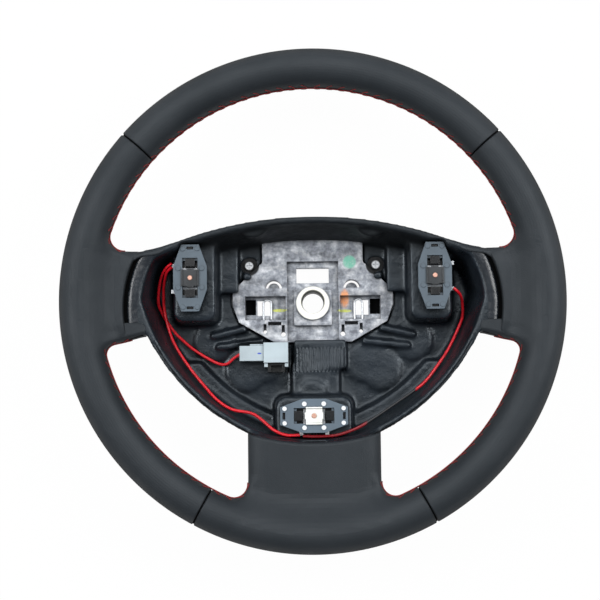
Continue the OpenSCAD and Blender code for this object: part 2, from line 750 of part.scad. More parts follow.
module carrier_left() { at_left() carrier(); }
module carrier_right() { at_right() carrier(); }
module carrier_bottom() { at_bottom() carrier(); }
module contact_strip_left() { at_left() contact_strip(); }
module contact_strip_right() { at_right() contact_strip(); }
module contact_strip_bottom() { at_bottom() contact_strip(); }
module contact_plate_left() { at_left() contact_plate(); }
module contact_plate_right() { at_right() contact_plate(); }
module contact_plate_bottom() { at_bottom() contact_plate(); }
module contact_bridge_left() { at_left() contact_bridge(); }
module contact_bridge_right() { at_right() contact_bridge(); }
module contact_bridge_bottom() { at_bottom() contact_bridge(); }
module contact_rivet_left() { at_left() contact_rivet(); }
module contact_rivet_right() { at_right() contact_rivet(); }
module contact_rivet_bottom() { at_bottom() contact_rivet(); }
module contact_springs_left() { at_left() contact_springs(); }
module contact_springs_right() { at_right() contact_springs(); }
module contact_springs_bottom() { at_bottom() contact_springs(); }

// Connector

module connector_plug() {
    color(connector_colour)
        difference() {
            union() {
                translate([-55.2, -43.5, 11]) cube([18, 11.2, 11]);
                translate([-47.5, -33, 12]) cube([10.3, 2, 9]);
            }
            translate([-56, -39.6, 15.5]) cube([6, 3.2, 3.2]);
        }
}
module connector_socket() {
    color(connector_colour) {
        translate([-37.2, -45, 11]) cube([18.3, 15, 13]);
        translate([-36.8, -48.2, 12]) cube([2.6, 3.3, 10]);
        translate([-21.5, -48.2, 12]) cube([2.6, 3.3, 10]);
    }
}
module connector_clip() {
    color(black_colour)
        difference() {
            translate([-34.1, -52, 11]) cube([12.5, 7, 9]);
            translate([-32, -53, 14]) cube([8.3, 6, 7]);
        }
}

// Leads

// Point at t between b and c on a smooth curve through a, b, c and d
function curve(a, b, c, d, t) =
    0.5 * (2 * b + (c - a) * t + (2 * a - 5 * b + 4 * c - d) * t * t
        + (3 * b - a - 3 * c + d) * t * t * t);
function lead_path(q, gap) =
    let (n = len(q))
    concat([for (i = [0:n - 2])
        let (a = q[max(i - 1, 0)], b = q[i], c = q[i + 1], d = q[min(i + 2, n - 1)],
             m = max(1, round(norm(c - b) / gap)))
        for (k = [0:m - 1]) curve(a, b, c, d, k / m)], [q[n - 1]]);
function unit(v) = v / norm(v);
module lead(q) {
    sides = 8;
    r = lead_d / 2 / cos(180 / sides);
    path = lead_path(q, 6);
    n = len(path);
    points = [for (i = [0:n - 1])
        let (t = unit(path[min(i + 1, n - 1)] - path[max(i - 1, 0)]),
             u = unit(cross([0, 0, 1], t)), v = cross(t, u))
        for (k = [0:sides - 1]) let (b = 360 * (k + 0.5) / sides)
            path[i] + r * (cos(b) * u + sin(b) * v)];
    faces = concat(
        [for (j = [0:n - 2]) for (k = [0:sides - 1]) let (k2 = (k + 1) % sides)
            [j * sides + k, (j + 1) * sides + k, j * sides + k2]],
        [for (j = [0:n - 2]) for (k = [0:sides - 1]) let (k2 = (k + 1) % sides)
            [j * sides + k2, (j + 1) * sides + k, (j + 1) * sides + k2]],
        [[for (k = [0:sides - 1]) k]], [[for (k = [sides - 1:-1:0]) (n - 1) * sides + k]]);
    polyhedron(points, faces, convexity = 8);
}

lead_z = ped_z + base_t + 0.8 + soft_gap + lead_d / 2;

module lead_to_connector() {
    color(lead_colour)
        lead([[-104.2, 28.1, lead_z], [-109, 24.5, 37], [-113.3, 16.8, 30], [-115.6, 2, 23],
            [-113.2, -7, 18.4], [-104.8, -20.5, 14.2], [-95, -30.2, 12.8], [-86.1, -37, 12.4],
            [-72.8, -44.5, 12.8], [-65.5, -45.4, 14.5], [-59.5, -41, 16.4],
            [-54.5, -38, 17.1]]);
}
module lead_left_to_bottom() {
    color(lead_colour)
        lead([[-104.2, 25.4, lead_z], [-108.4, 21.4, 35.5], [-111.2, 12, 27],
            [-111.8, 0, 20.5], [-110.5, -10, 20], [-107.2, -22, 21.5], [-103.6, -30.5, 24],
            [-97.6, -40.6, 26], [-90.2, -51, 28], [-81.6, -61.5, 30.5], [-71.6, -72.6, 32],
            [-60.6, -79.6, 33], [-46.5, -82.6, 33.6], [-38.6, -87.6, 35], [-30, -95, 38],
            [-21.6, -98.8, 39.4], [-15, -99.2, lead_z], [-10.6, -99, lead_z]]);
}
module lead_bottom_to_right() {
    color(lead_colour)
        lead([[104, 7.8, lead_z], [106.8, 5.6, 38.9], [109.6, 2.6, 34.2], [111.3, -2, 28], [111.8, -11.9, 22.5],
            [107.6, -23, 22], [100.3, -37, 25], [92.6, -48.2, 27], [83.6, -59.6, 29.5],
            [76, -66, 31], [63.4, -74.6, 32.5], [48.5, -84.4, 34.5], [33.6, -93.4, 37.4],
            [18.9, -98.8, 40], [9.5, -100, 40.4], [0, -100.2, 40.2], [-8.4, -99.8, lead_z]]);
}

armature();
foam_body();
foam_core_top();
foam_core_left();
foam_core_right();
foam_core_bottom();
leather_top();
leather_left();
leather_right();
leather_bottom();
stitching();
hub_screws();
retaining_springs();
carrier_left();
carrier_right();
carrier_bottom();
contact_strip_left();
contact_strip_right();
contact_strip_bottom();
contact_plate_left();
contact_plate_right();
contact_plate_bottom();
contact_bridge_left();
contact_bridge_right();
contact_bridge_bottom();
contact_rivet_left();
contact_rivet_right();
contact_rivet_bottom();
contact_springs_left();
contact_springs_right();
contact_springs_bottom();
connector_plug();
connector_socket();
connector_clip();
lead_to_connector();
lead_left_to_bottom();
lead_bottom_to_right();
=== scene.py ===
# %% [markdown]
# # A leather car steering wheel without its airbag module
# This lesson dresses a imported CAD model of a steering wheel. The CAD gives every rigid
# piece its place and size. Blender adds what a photograph shows and CAD leaves out:
# leather that rounds into its seams, thread, cast metal, moulded skin and wire.

import math

import bmesh
import bpy
from mathutils import Matrix, Vector


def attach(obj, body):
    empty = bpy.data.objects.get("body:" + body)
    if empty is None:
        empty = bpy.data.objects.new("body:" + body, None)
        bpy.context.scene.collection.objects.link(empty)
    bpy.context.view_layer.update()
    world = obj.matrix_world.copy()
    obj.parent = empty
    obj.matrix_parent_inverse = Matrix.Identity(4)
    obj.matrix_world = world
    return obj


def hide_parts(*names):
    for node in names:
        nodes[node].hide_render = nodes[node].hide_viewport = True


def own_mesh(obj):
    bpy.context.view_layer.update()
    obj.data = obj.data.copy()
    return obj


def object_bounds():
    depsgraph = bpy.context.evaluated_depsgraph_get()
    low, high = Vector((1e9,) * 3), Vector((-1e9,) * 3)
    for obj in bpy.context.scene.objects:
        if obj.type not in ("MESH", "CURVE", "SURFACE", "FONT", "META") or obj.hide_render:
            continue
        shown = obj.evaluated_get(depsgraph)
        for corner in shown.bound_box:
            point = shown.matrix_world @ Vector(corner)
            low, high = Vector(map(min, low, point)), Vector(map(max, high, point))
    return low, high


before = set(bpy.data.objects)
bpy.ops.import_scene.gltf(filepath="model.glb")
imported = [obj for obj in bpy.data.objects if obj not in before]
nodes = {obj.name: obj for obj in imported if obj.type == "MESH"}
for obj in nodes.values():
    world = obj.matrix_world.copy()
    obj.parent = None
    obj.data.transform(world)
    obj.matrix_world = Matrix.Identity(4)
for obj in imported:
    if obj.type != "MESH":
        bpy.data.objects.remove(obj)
cad_box = [list(corner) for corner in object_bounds()]
scene = bpy.context.scene
scene.view_settings.view_transform = "Standard"
MM = 0.001
print("CAD nodes:", len(nodes))

# %% [markdown]
# ## The camera
# The photographer stood almost straight in front of the wheel, a little towards six
# o'clock, about 1.15 m away. The wheel looks turned by less than a degree, so the camera
# rolls instead. A small lens shift puts the rim's centre where the photograph has it.

# %% Camera
RIM_Z = 52.0
RIM_R = 185.0
SENSOR = 36
IMAGE_W = 600
DISTANCE = 1150.0
TILT = math.radians(4.6)
ROLL = math.radians(0.65)
RIM_RADIUS_PX = 253.3
RIM_CENTRE_PX = (312.8, 298.9)

camera_data = bpy.data.cameras.new("camera")
camera = bpy.data.objects.new("camera", camera_data)
scene.collection.objects.link(camera)
scene.camera = camera
forward = Vector((0, math.sin(TILT), -math.cos(TILT)))
level_up = Vector((0, math.cos(TILT), math.sin(TILT)))
level_right = Vector((1, 0, 0))
right = level_right * math.cos(ROLL) - level_up * math.sin(ROLL)
up = level_up * math.cos(ROLL) + level_right * math.sin(ROLL)
camera.matrix_world = Matrix((right, up, -forward)).transposed().to_4x4()
camera.location = (Vector((0, 0, RIM_Z)) - forward * DISTANCE) * MM
camera_data.sensor_width = SENSOR
camera_data.lens = SENSOR * RIM_RADIUS_PX * DISTANCE / RIM_R / IMAGE_W
camera_data.shift_x = (IMAGE_W / 2 - RIM_CENTRE_PX[0]) / IMAGE_W
camera_data.shift_y = (RIM_CENTRE_PX[1] - IMAGE_W / 2) / IMAGE_W
camera_data.clip_end = 20
print("lens", round(camera_data.lens, 1), "mm")

# %% [markdown]
# ## Light
# The photograph was taken in a white booth. A large soft lamp hangs beyond twelve
# o'clock, and weaker ones stand left and right. The sky is paler on the same side, so
# the walls that face six o'clock stay dark.

# %% Lamps and sky
SKY_LOW, SKY_HIGH = 0.12, 0.62


def put(node, values):
    """Plain values for a node's sockets, by the sockets' names."""
    for name, value in values.items():
        node.inputs[name].default_value = value


def lamp(name, place, size, watts):
    """Round soft lamp that looks at the hub."""
    data = bpy.data.lights.new(name, "AREA")
    data.shape = "DISK"
    data.size = size
    data.energy = watts
    obj = bpy.data.objects.new(name, data)
    obj.location = place
    aim = Vector((0, 0, 0.03)) - Vector(place)
    obj.rotation_euler = aim.to_track_quat("-Z", "Y").to_euler()
    scene.collection.objects.link(obj)


lamp("top_lamp", (-0.1, 0.95, 1.6), 1.5, 13.5)
lamp("left_lamp", (-1.15, 0.2, 1.25), 0.8, 11.5)
lamp("right_lamp", (1.15, 0.3, 1.25), 0.8, 13.5)

world = bpy.data.worlds.new("studio")
scene.world = world
world.use_nodes = True
tree = world.node_tree
sky = tree.nodes["Background"]
put(sky, {"Color": (0.90, 0.96, 1.0, 1)})
parts = tree.nodes.new("ShaderNodeSeparateXYZ")
slope = tree.nodes.new("ShaderNodeMapRange")
put(slope, {"From Min": -1.0, "From Max": 1.0, "To Min": SKY_LOW, "To Max": SKY_HIGH})
tree.links.new(tree.nodes.new("ShaderNodeTexCoord").outputs["Generated"], parts.inputs["Vector"])
tree.links.new(parts.outputs["Y"], slope.inputs["Value"])
tree.links.new(slope.outputs["Result"], sky.inputs["Strength"])
print("lamps:", len(bpy.data.lights), "sky from", SKY_LOW, "to", SKY_HIGH)

# %% [markdown]
# ## Floor
# To the camera and to reflections the floor is almost pure white, and a small share of
# its real shading keeps a trace of shadow.

# %% Floor
WHITE_SHARE = 0.98
FLOOR_HALF = 4


def new_material(name):
    """Material with its node tree and its Principled shader."""
    material = bpy.data.materials.new(name)
    material.use_nodes = True
    tree = material.node_tree
    return material, tree, tree.nodes["Principled BSDF"]


def calc(m, operation, a, b=None, c=None):
    """Math node in the tree m; a, b and c are sockets or plain values."""
    node = m.nodes.new("ShaderNodeMath")
    node.operation = operation
    for socket, value in zip(node.inputs, (a, b, c)):
        if isinstance(value, (int, float)):
            socket.default_value = value
        elif value is not None:
            m.links.new(value, socket)
    return node.outputs["Value"]


floor_mat, m, shader = new_material("pale_floor")
put(shader, {"Base Color": (0.86, 0.87, 0.88, 1), "Roughness": 0.9, "Specular IOR Level": 0.1})
glow = m.nodes.new("ShaderNodeEmission")
put(glow, {"Color": (1, 1, 1, 1), "Strength": 1.0})
rays = m.nodes.new("ShaderNodeLightPath").outputs
seen = calc(m, "MAXIMUM", rays["Is Camera Ray"], rays["Is Glossy Ray"])
seen = calc(m, "MAXIMUM", seen, rays["Is Transmission Ray"])
pale = m.nodes.new("ShaderNodeMixShader")
m.links.new(calc(m, "MULTIPLY", seen, WHITE_SHARE), pale.inputs["Fac"])
m.links.new(shader.outputs["BSDF"], pale.inputs[1])
m.links.new(glow.outputs["Emission"], pale.inputs[2])
m.links.new(pale.outputs["Shader"], m.nodes["Material Output"].inputs["Surface"])

floor_low = cad_box[0][2]
floor_mesh = bpy.data.meshes.new("floor")
a = FLOOR_HALF
corners = [(x, y, floor_low) for x, y in ((-a, -a), (a, -a), (a, a), (-a, a))]
floor_mesh.from_pydata(corners, [], [(0, 1, 2, 3)])
floor = bpy.data.objects.new("floor", floor_mesh)
floor_mesh.materials.append(floor_mat)
scene.collection.objects.link(floor)
print("floor at", round(floor_low, 4), "m")

# %% [markdown]
# ## The leather's form
# The covers are sewn over a moulded core. The CAD draws them with few facets, so here
# the same form is worked out again with many points. Seen from the front, each cover is
# a fan of rays from the wheel's centre. The surface stands over that plan at a height
# which is a quarter round near every edge and sinks from the rim into the spokes.

# %% The plan of the spokes
GRIP_A = 14.4
GRIP_FLAT = 2.1
CENTRE_R = RIM_R - GRIP_A
OPEN_R = RIM_R - 2 * GRIP_A
SPOKE_T = 10.1
SPOKE_DIP = 7.0
BLEND_R = 142.5
SEAM_TOP, SEAM_LOW = 48.5, 28.5
# Edge of a spoke: distance out, distance across, slope in degrees, fillet radius
SIDE_UPPER = (124.0, 36.8, 0.0, 10.0)
SIDE_LOWER = (124.0, 26.0, 14.0, 8.0)
LOW_EDGE = (100.0, 48.4, 0.0, 10.0)


def fillet_centre(edge):
    u, v, slope, r = edge
    a = math.radians(slope)
    along = Vector((math.cos(a), math.sin(a)))
    out = Vector((-math.sin(a), math.cos(a)))
    q = Vector((u, v)) + out * r
    b = q.dot(along)
    c = q.dot(q) - (OPEN_R - r) ** 2
    return q + along * (-b + math.sqrt(b * b - c)), along, out


FILLETS = {e: fillet_centre(e) for e in (SIDE_UPPER, SIDE_LOWER, LOW_EDGE)}


def ray_angle(edge):
    c = FILLETS[edge][0]
    return math.degrees(math.atan2(c.y, c.x))


def edge_gap(p, edge, inset=0.0):
    """Distance of a plan point from the opening beside a spoke."""
    c, along, out = FILLETS[edge]
    if c.x * p.y - c.y * p.x > 0 and p.length > c.length:
        return p.length - OPEN_R - inset
    if (p - c).dot(along) < 0:
        return (Vector((edge[0], edge[1])) - p).dot(out) - inset
    return (p - c).length - edge[3] - inset


def flipped(p):
    return Vector((p.x, -p.y))


def gap_of(p, upper, lower, inset=0.0):
    """Distance of a plan point from the nearer of a spoke's two openings."""
    return min(edge_gap(p, upper, inset), edge_gap(flipped(p), lower, inset))


def smooth(x):
    x = min(max(x, 0.0), 1.0)
    return x * x * (3 - 2 * x)


def quarter_round(d, a):
    q = 1 - min(max(d, 0.0), a) / a
    return math.sqrt(max(0.0, 1 - q * q))


def surface(p, upper, lower, inset=0.0):
    """Middle height and half height of the grip over a plan point."""
    a = GRIP_A - inset
    t = math.degrees(math.atan2(p.y, p.x))
    edge = upper if t >= 0 else lower
    c = FILLETS[edge][0]
    straight = smooth((c.x + 6 - p.x) / 14) * smooth((c.y + 4 - abs(p.y)) / 10)
    share_of_spoke = 1 - (1 - smooth((ray_angle(edge) - abs(t)) / 7)) * (1 - straight)
    w = smooth((CENTRE_R - p.length) / (CENTRE_R - BLEND_R)) * share_of_spoke
    top = a - (a - (SPOKE_T - GRIP_FLAT - inset)) * w
    if p.length > CENTRE_R:
        rise = quarter_round(RIM_R - inset - p.length, a)
    else:
        rise = quarter_round(gap_of(p, upper, lower, inset), a)
    return RIM_Z - SPOKE_DIP * w, GRIP_FLAT + top * rise


print("fillets start at", [round(ray_angle(edge), 1) for edge in FILLETS], "degrees")

# %% [markdown]
# ## Lines that follow the edge
# Leather pulled over a core keeps one roundness all along its edge. So the mesh is drawn
# as lines at fixed distances from the edge of the opening: round the rim, through the
# fillet and along the spoke to the arc where the cover ends at the hub. Close to the
# edge, where the surface turns down, the lines lie closer together.

# %% Lines along an edge
LINES = 12
SINK_SEAM = 0.9
SINK_HUB = 2.2
CLEAR = 1.3
ROUND_STEPS = 16
STRAIGHT_STEP = 2.6
TUCK = (0.0, 0.04, 0.14, 0.32, 0.6, 1.0)


def sink(d, radius):
    """How far leather has sunk at distance d from its end."""
    return radius - math.sqrt(max(0.0, radius**2 - max(0.0, radius - d) ** 2))


def polar(t, r):
    return Vector((math.cos(math.radians(t)), math.sin(math.radians(t)))) * r


def rim_angles(to, end, gap=1.0):
    """Angles from the seam at `to` to `end`, with extra ones where the leather sinks."""
    near = math.degrees(SINK_SEAM / CENTRE_R)
    first = to - near * CLEAR
    count = max(2, math.ceil((first - end) / gap))
    plain_part = [first + (end - first) * i / count for i in range(count + 1)]
    return [to - near * f for f in TUCK] + plain_part


def seam_sink(t, to):
    """Depth of the leather under its full form, at angle t near the seam at `to`."""
    d = math.radians(max(0.0, to - abs(t))) * CENTRE_R
    return sink(d, SINK_SEAM) if d < SINK_SEAM else 0.0


def inset_at(k, e):
    """Distance of line k from the edge, where the leather has sunk by e."""
    return e + (GRIP_A - e) * (1 - math.cos(math.pi / 2 * k / LINES))


def edge_line(k, edge, to, arc_centre, arc_r):
    """Line k beside an opening, from the seam to the hub arc, above the spoke's axis."""
    c, along, out = FILLETS[edge]
    turn_at = ray_angle(edge)
    line = []
    for t in rim_angles(to, turn_at):
        line.append(polar(t, OPEN_R + inset_at(k, seam_sink(t, to))))
    d = inset_at(k, 0.0)
    last = edge[2] - 90
    line += [c + polar(turn_at + (last - turn_at) * i / ROUND_STEPS, edge[3] + d)
             for i in range(1, ROUND_STEPS + 1)]
    start = c - out * (edge[3] + d)
    b = (start - arc_centre).dot(along)
    length = b - math.sqrt(b * b - (start - arc_centre).length_squared + arc_r * arc_r)
    left = SINK_HUB * CLEAR
    steps = max(2, math.ceil((length - left) / STRAIGHT_STEP))
    line += [start - along * (length - left) * i / steps for i in range(1, steps + 1)]
    line += [start - along * (length - SINK_HUB * f) for f in TUCK[::-1]]
    return line


def outer_line(k, angles, to_up, to_low):
    """Line k along the rim's outer edge."""
    return [polar(t, RIM_R - inset_at(k, seam_sink(t, to_up if t > 0 else to_low))) for t in angles]


print("lines at", [round(inset_at(k, 0.0), 2) for k in range(LINES + 1)], "mm")

# %% [markdown]
# ## The net of a cover
# A Delaunay triangulation joins the lines into one even net, and a few loose points
# fill the flat middle of the spoke. Triangles that lie in an opening, or inside the arc
# where the cover ends at the hub, are left out.

# %% Net of a cover
from mathutils.geometry import delaunay_2d_cdt

ARC_STEP = 3.0
LOOSE_STEP = 3.4


def net(outline, lines, loose, inside):
    """Plan points and triangles: outline is a closed line, lines are open ones."""
    points = list(outline)
    edges = [(i, (i + 1) % len(outline)) for i in range(len(outline))]
    for line in lines:
        base = len(points)
        points += line
        edges += [(base + i, base + i + 1) for i in range(len(line) - 1)]
    points += loose
    found = delaunay_2d_cdt(points, edges, [], 0, 1e-4, False)
    plan = [Vector(p) for p in found[0]]
    faces = []
    for face in found[2]:
        if inside(sum((plan[i] for i in face), Vector((0, 0))) / 3):
            faces.append(tuple(face))
    return plan, faces


def hub_arc(ends, centre, r, extra=0.0):
    """Points on the hub arc, or just outside it, between the two innermost lines."""
    a0, b0 = (math.degrees(math.atan2(p.y - centre.y, p.x - centre.x)) for p in ends)
    count = max(2, round(math.radians(a0 - b0) * r / ARC_STEP))
    return [centre + polar(a0 + (b0 - a0) * i / count, r + extra) for i in range(1, count)]


def cover_plan(upper, lower, to_up, to_low, centre, r):
    """Net of the cover of a spoke that points along +X."""
    ks = range(LINES + 1)
    above = [edge_line(k, upper, to_up, centre, r) for k in ks]
    below = [[flipped(p) for p in edge_line(k, lower, to_low, flipped(centre), r)] for k in ks]
    up_angles = rim_angles(to_up, ray_angle(upper))
    low_angles = [-t for t in rim_angles(to_low, ray_angle(lower))]
    gap = up_angles[-1] - low_angles[-1]
    middle = [low_angles[-1] + gap * i / 40 for i in range(1, 40)]
    angles = low_angles + middle + up_angles[::-1]
    outer = [outer_line(k, angles, to_up, to_low) for k in ks]
    ends = above[-1][-1], below[-1][-1]
    outline = outer[0] + [outer[k][-1] for k in range(1, LINES)]
    outline += [above[k][0] for k in range(LINES, 0, -1)] + above[0]
    outline += [above[k][-1] for k in range(1, LINES + 1)] + hub_arc(ends, centre, r)
    outline += [below[k][-1] for k in range(LINES, 0, -1)] + below[0][::-1]
    outline += [below[k][0] for k in range(1, LINES)]
    outline += [outer[k][0] for k in range(LINES, 0, -1)]
    loose = []
    for f in TUCK[1:]:
        loose += hub_arc(ends, centre, r, SINK_HUB * f)
    for i in range(int(110 / LOOSE_STEP)):
        for j in range(-40, 41):
            p = Vector((80 + i * LOOSE_STEP, (j + 0.5 * (i % 2)) * LOOSE_STEP))
            far = min(gap_of(p, upper, lower), RIM_R - p.length)
            if far > GRIP_A + 1.6 and (p - centre).length > r + SINK_HUB * 1.6:
                loose.append(p)

    def inside(p):
        return gap_of(p, upper, lower) > 0 and (p - centre).length > r

    return net(outline, above[1:] + below[1:] + outer[1:], loose, inside)


# %% [markdown]
# ## From net to cover
# Each point of the net is lifted to the front and to the rear of the grip. A narrow wall
# joins the two at the edge. It is pressed in a little on the inner side, where the two
# edges of the leather are sewn together.

# %% Lifting the net
WALL_DIP = 0.6
THINNEST = 0.4
PROBE = 0.05


def lifted(plan, faces, upper, lower, to_up, to_low, centre, r):
    """Points in space and faces of a closed cover over its plan."""

    def depth(p):
        t = math.degrees(math.atan2(p.y, p.x))
        at_seam = seam_sink(t, to_up if t > 0 else to_low) if p.length > OPEN_R - 1 else 0.0
        d = (p - centre).length - r
        return at_seam, (sink(d, SINK_HUB) if d < SINK_HUB else 0.0)

    def pressed(p, e):
        """Small step into the opening's edge at p, square to it."""
        if p.length >= CENTRE_R or gap_of(p, upper, lower, e) >= PROBE:
            return Vector((0, 0))
        push = Vector([gap_of(p + s, upper, lower, e) - gap_of(p - s, upper, lower, e)
                       for s in (Vector((PROBE, 0)), Vector((0, PROBE)))])
        return push.normalized() * WALL_DIP

    count = len(plan)
    verts = []
    for side in (1, -1):
        for p in plan:
            e, rolled = depth(p)
            mid, half = surface(p, upper, lower, e)
            verts.append((p.x, p.y, mid + side * max(THINNEST, half - rolled)))
    all_faces = faces + [tuple(count + i for i in reversed(f)) for f in faces]
    used = {(f[i], f[(i + 1) % len(f)]): True for f in faces for i in range(len(f))}
    wall = {}
    for a, b in [(a, b) for a, b in used if (b, a) not in used]:
        for i in (a, b):
            if i not in wall:
                p = plan[i]
                e = depth(p)[0]
                q = p + pressed(p, e)
                wall[i] = len(verts)
                verts.append((q.x, q.y, surface(p, upper, lower, e)[0]))
        all_faces.append((b, a, wall[a], wall[b]))
        all_faces.append((wall[b], wall[a], count + a, count + b))
    return verts, all_faces


# %% [markdown]
# ## The spoke covers
# The left cover mirrors the right one, and the bottom cover is built pointing to three
# o'clock and turned to six. The hub arcs are measured in millimetres in that position.

# %% Spoke covers
HALF_SEAM = math.degrees(0.5 / CENTRE_R)
SIDE_ARC, SIDE_ARC_R = Vector((53.4, -5.0)), 85.1
HUB_ARC, HUB_ARC_R = Vector((-53.0, 0.0)), 157.9
LOW_TO = SEAM_LOW - HALF_SEAM
UNTURNED = Matrix(((1, 0), (0, 1)))
MIRRORED = Matrix(((-1, 0), (0, 1)))
UPSIDE_DOWN = Matrix(((1, 0), (0, -1)))
DOWNWARDS = Matrix(((0, 1), (-1, 0)))


def add_mesh(name, verts, faces, smooth_angle=60):
    """Closed mesh from points in millimetres, with its faces turned outwards."""
    mesh = bpy.data.meshes.new(name)
    mesh.from_pydata([tuple(c * MM for c in p) for p in verts], [], faces)
    work = bmesh.new()
    work.from_mesh(mesh)
    bmesh.ops.recalc_face_normals(work, faces=work.faces)
    work.to_mesh(mesh)
    work.free()
    obj = bpy.data.objects.new(name, mesh)
    scene.collection.objects.link(obj)
    bpy.context.view_layer.objects.active = obj
    obj.select_set(True)
    bpy.ops.object.shade_auto_smooth(angle=math.radians(smooth_angle))
    obj.select_set(False)
    print(name, len(mesh.polygons), "faces")
    return obj


side_shape = (SIDE_UPPER, SIDE_LOWER, 90 - SEAM_TOP - HALF_SEAM, 90 - SEAM_LOW - HALF_SEAM,
              SIDE_ARC, SIDE_ARC_R)
low_shape = (LOW_EDGE, LOW_EDGE, LOW_TO, LOW_TO, HUB_ARC, HUB_ARC_R)
covers = {}
for node, shape, turn in (("leather_right", side_shape, UNTURNED),
                          ("leather_left", side_shape, MIRRORED),
                          ("leather_bottom", low_shape, DOWNWARDS)):
    verts, faces = lifted(*cover_plan(*shape), *shape)
    turned = [(*(turn @ Vector((x, y))), z) for x, y, z in verts]
    covers[node] = add_mesh(node + "_cover", turned, faces, 50)

# %% [markdown]
# ## The plain top cover
# Between its two seams the top cover is a bent tube, so a grid of rings is enough.

# %% Top cover
AROUND = 4 * LINES + 2
PLAIN_STEPS = 96


def ring_faces(rings, around):
    """Sides and both ends of a closed form whose points lie in rings."""
    faces = []
    for j in range(rings - 1):
        a, b = j * around, (j + 1) * around
        for i in range(around):
            i2 = (i + 1) % around
            faces.append((a + i, a + i2, b + i2, b + i))
    faces.append(tuple(reversed(range(around))))
    faces.append(tuple((rings - 1) * around + i for i in range(around)))
    return faces


top_to = SEAM_TOP - HALF_SEAM
near = math.degrees(SINK_SEAM / CENTRE_R)
side_angles = [top_to - near * f for f in TUCK]
first = top_to - near * CLEAR
plain_angles = [first * (1 - 2 * i / PLAIN_STEPS) for i in range(PLAIN_STEPS + 1)]
top_angles = side_angles + plain_angles + [-t for t in reversed(side_angles)]
verts = []
for t in top_angles:
    e = seam_sink(t, top_to)
    for i in range(AROUND):
        # half a ring in front, with its flat of two heights, then half a ring behind
        face_of = -1 if i > 2 * LINES else 1
        a = math.pi * (i % (2 * LINES + 1)) / (2 * LINES)
        p = polar(90 + t, CENTRE_R + (GRIP_A - e) * math.cos(a) * face_of)
        verts.append((p.x, p.y, RIM_Z + (GRIP_FLAT + (GRIP_A - e) * math.sin(a)) * face_of))
faces = ring_faces(len(top_angles), AROUND)
covers["leather_top"] = add_mesh("leather_top_cover", verts, faces, 50)
for node, obj in covers.items():
    # a spoke cover lies closer to its foam than the CAD does, so it stands for the foam too
    core = [] if node == "leather_top" else [node.replace("leather", "foam_core")]
    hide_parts(node, *core)
    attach(obj, "root")

# %% [markdown]
# ## Thread
# Two rows of holes run along the inner edge of the leather. A strong thread laces them
# from side to side, so on the front each stitch shows as a short slanted tick, and the
# thread that runs on from one stitch to the next shows as a thin line in the groove.

# %% Stitching
PITCH = 8.9
THREAD_R = 0.34
LACE_R = 0.55
TICK_SPREAD = 2.3
TICK_ANGLE = 21
TRACK_STEP = 0.5
FLAT_ANGLE = 0.05


def tube(path, radius, sides=8):
    """Points and faces of a tube with closed ends along a path of Vectors."""
    verts = []
    count = len(path)
    side = None
    for i, p in enumerate(path):
        ahead = (path[min(i + 1, count - 1)] - path[max(i - 1, 0)]).normalized()
        if side is None:
            other = Vector((0, 0, 1)) if abs(ahead.z) < 0.8 else Vector((1, 0, 0))
            side = ahead.cross(other).normalized()
        side = (side - ahead * side.dot(ahead)).normalized()
        up_side = ahead.cross(side)
        for k in range(sides):
            a = 2 * math.pi * k / sides
            verts.append(p + (side * math.cos(a) + up_side * math.sin(a)) * radius)
    return verts, ring_faces(count, sides)


def joined(name, forms, smooth_angle=60):
    """One mesh from many (points, faces)."""
    verts, faces = [], []
    for v, f in forms:
        base = len(verts)
        verts += v
        faces += [tuple(base + i for i in face) for face in f]
    return add_mesh(name, verts, faces, smooth_angle)


def edge_track(edge, to, straight_to):
    """(point, direction into the leather) along an opening's edge, in small steps."""
    c, along, out = FILLETS[edge]
    turn_at = ray_angle(edge)
    track = []
    count = round(math.radians(to - turn_at) * OPEN_R / TRACK_STEP)
    for i in range(count + 1):
        t = to + (turn_at - to) * i / count
        track.append((polar(t, OPEN_R), polar(t, 1.0)))
    last = edge[2] - 90
    count = round(math.radians(turn_at - last) * edge[3] / TRACK_STEP)
    for i in range(1, count + 1):
        t = turn_at + (last - turn_at) * i / count
        track.append((c + polar(t, edge[3]), polar(t, 1.0)))
    start = c - out * edge[3]
    length = (start.x - straight_to) / along.x
    count = round(length / TRACK_STEP)
    track += [(start - along * length * i / count, -out) for i in range(1, count + 1)]
    return track


def on_skin(p, inward, upper, lower, lift_angle):
    """Point on the leather near its edge: lift_angle 90 is the crown, -90 the rear."""
    a = math.radians(abs(lift_angle))
    q = p + inward * (GRIP_A * (1 - math.cos(a)) - 0.12)
    mid, half = surface(q + inward * 0.01, upper, lower)
    z = max(half, GRIP_FLAT) if a > FLAT_ANGLE else GRIP_FLAT * a / FLAT_ANGLE
    return Vector((q.x, q.y, mid + (z if lift_angle > 0 else -z)))


def place(point, turn):
    x, y = turn @ point.xy
    return Vector((x, y, point.z))


def sew(track, upper, lower, turn):
    """Ticks across the edge every PITCH and a thread along it."""
    tubes = []
    run = 0.0
    lengths = [0.0]
    for a, b in zip(track, track[1:]):
        run += (b[0] - a[0]).length
        lengths.append(run)

    def at(s):
        s = min(max(s, 0.0), run)
        return track[next(j for j, v in enumerate(lengths) if v >= s)]

    s = PITCH / 2
    while s < run - 2:
        tick = []
        for i in range(13):
            lean = -1 + 2 * i / 12
            p, inward = at(s + TICK_SPREAD * (2 * abs(lean) - 1))
            angle = TICK_ANGLE * math.sqrt(abs(lean)) * (1 if lean > 0 else -1)
            tick.append(place(on_skin(p, inward, upper, lower, angle), turn))
        tubes.append(tube(tick, THREAD_R))
        s += PITCH
    lace = []
    for p, inward in track[::3]:
        q = p - inward * 0.3
        z = surface(p + inward * 0.1, upper, lower)[0] + 0.8
        lace.append(place(Vector((q.x, q.y, z)), turn))
    tubes.append(tube(lace, LACE_R))
    return tubes


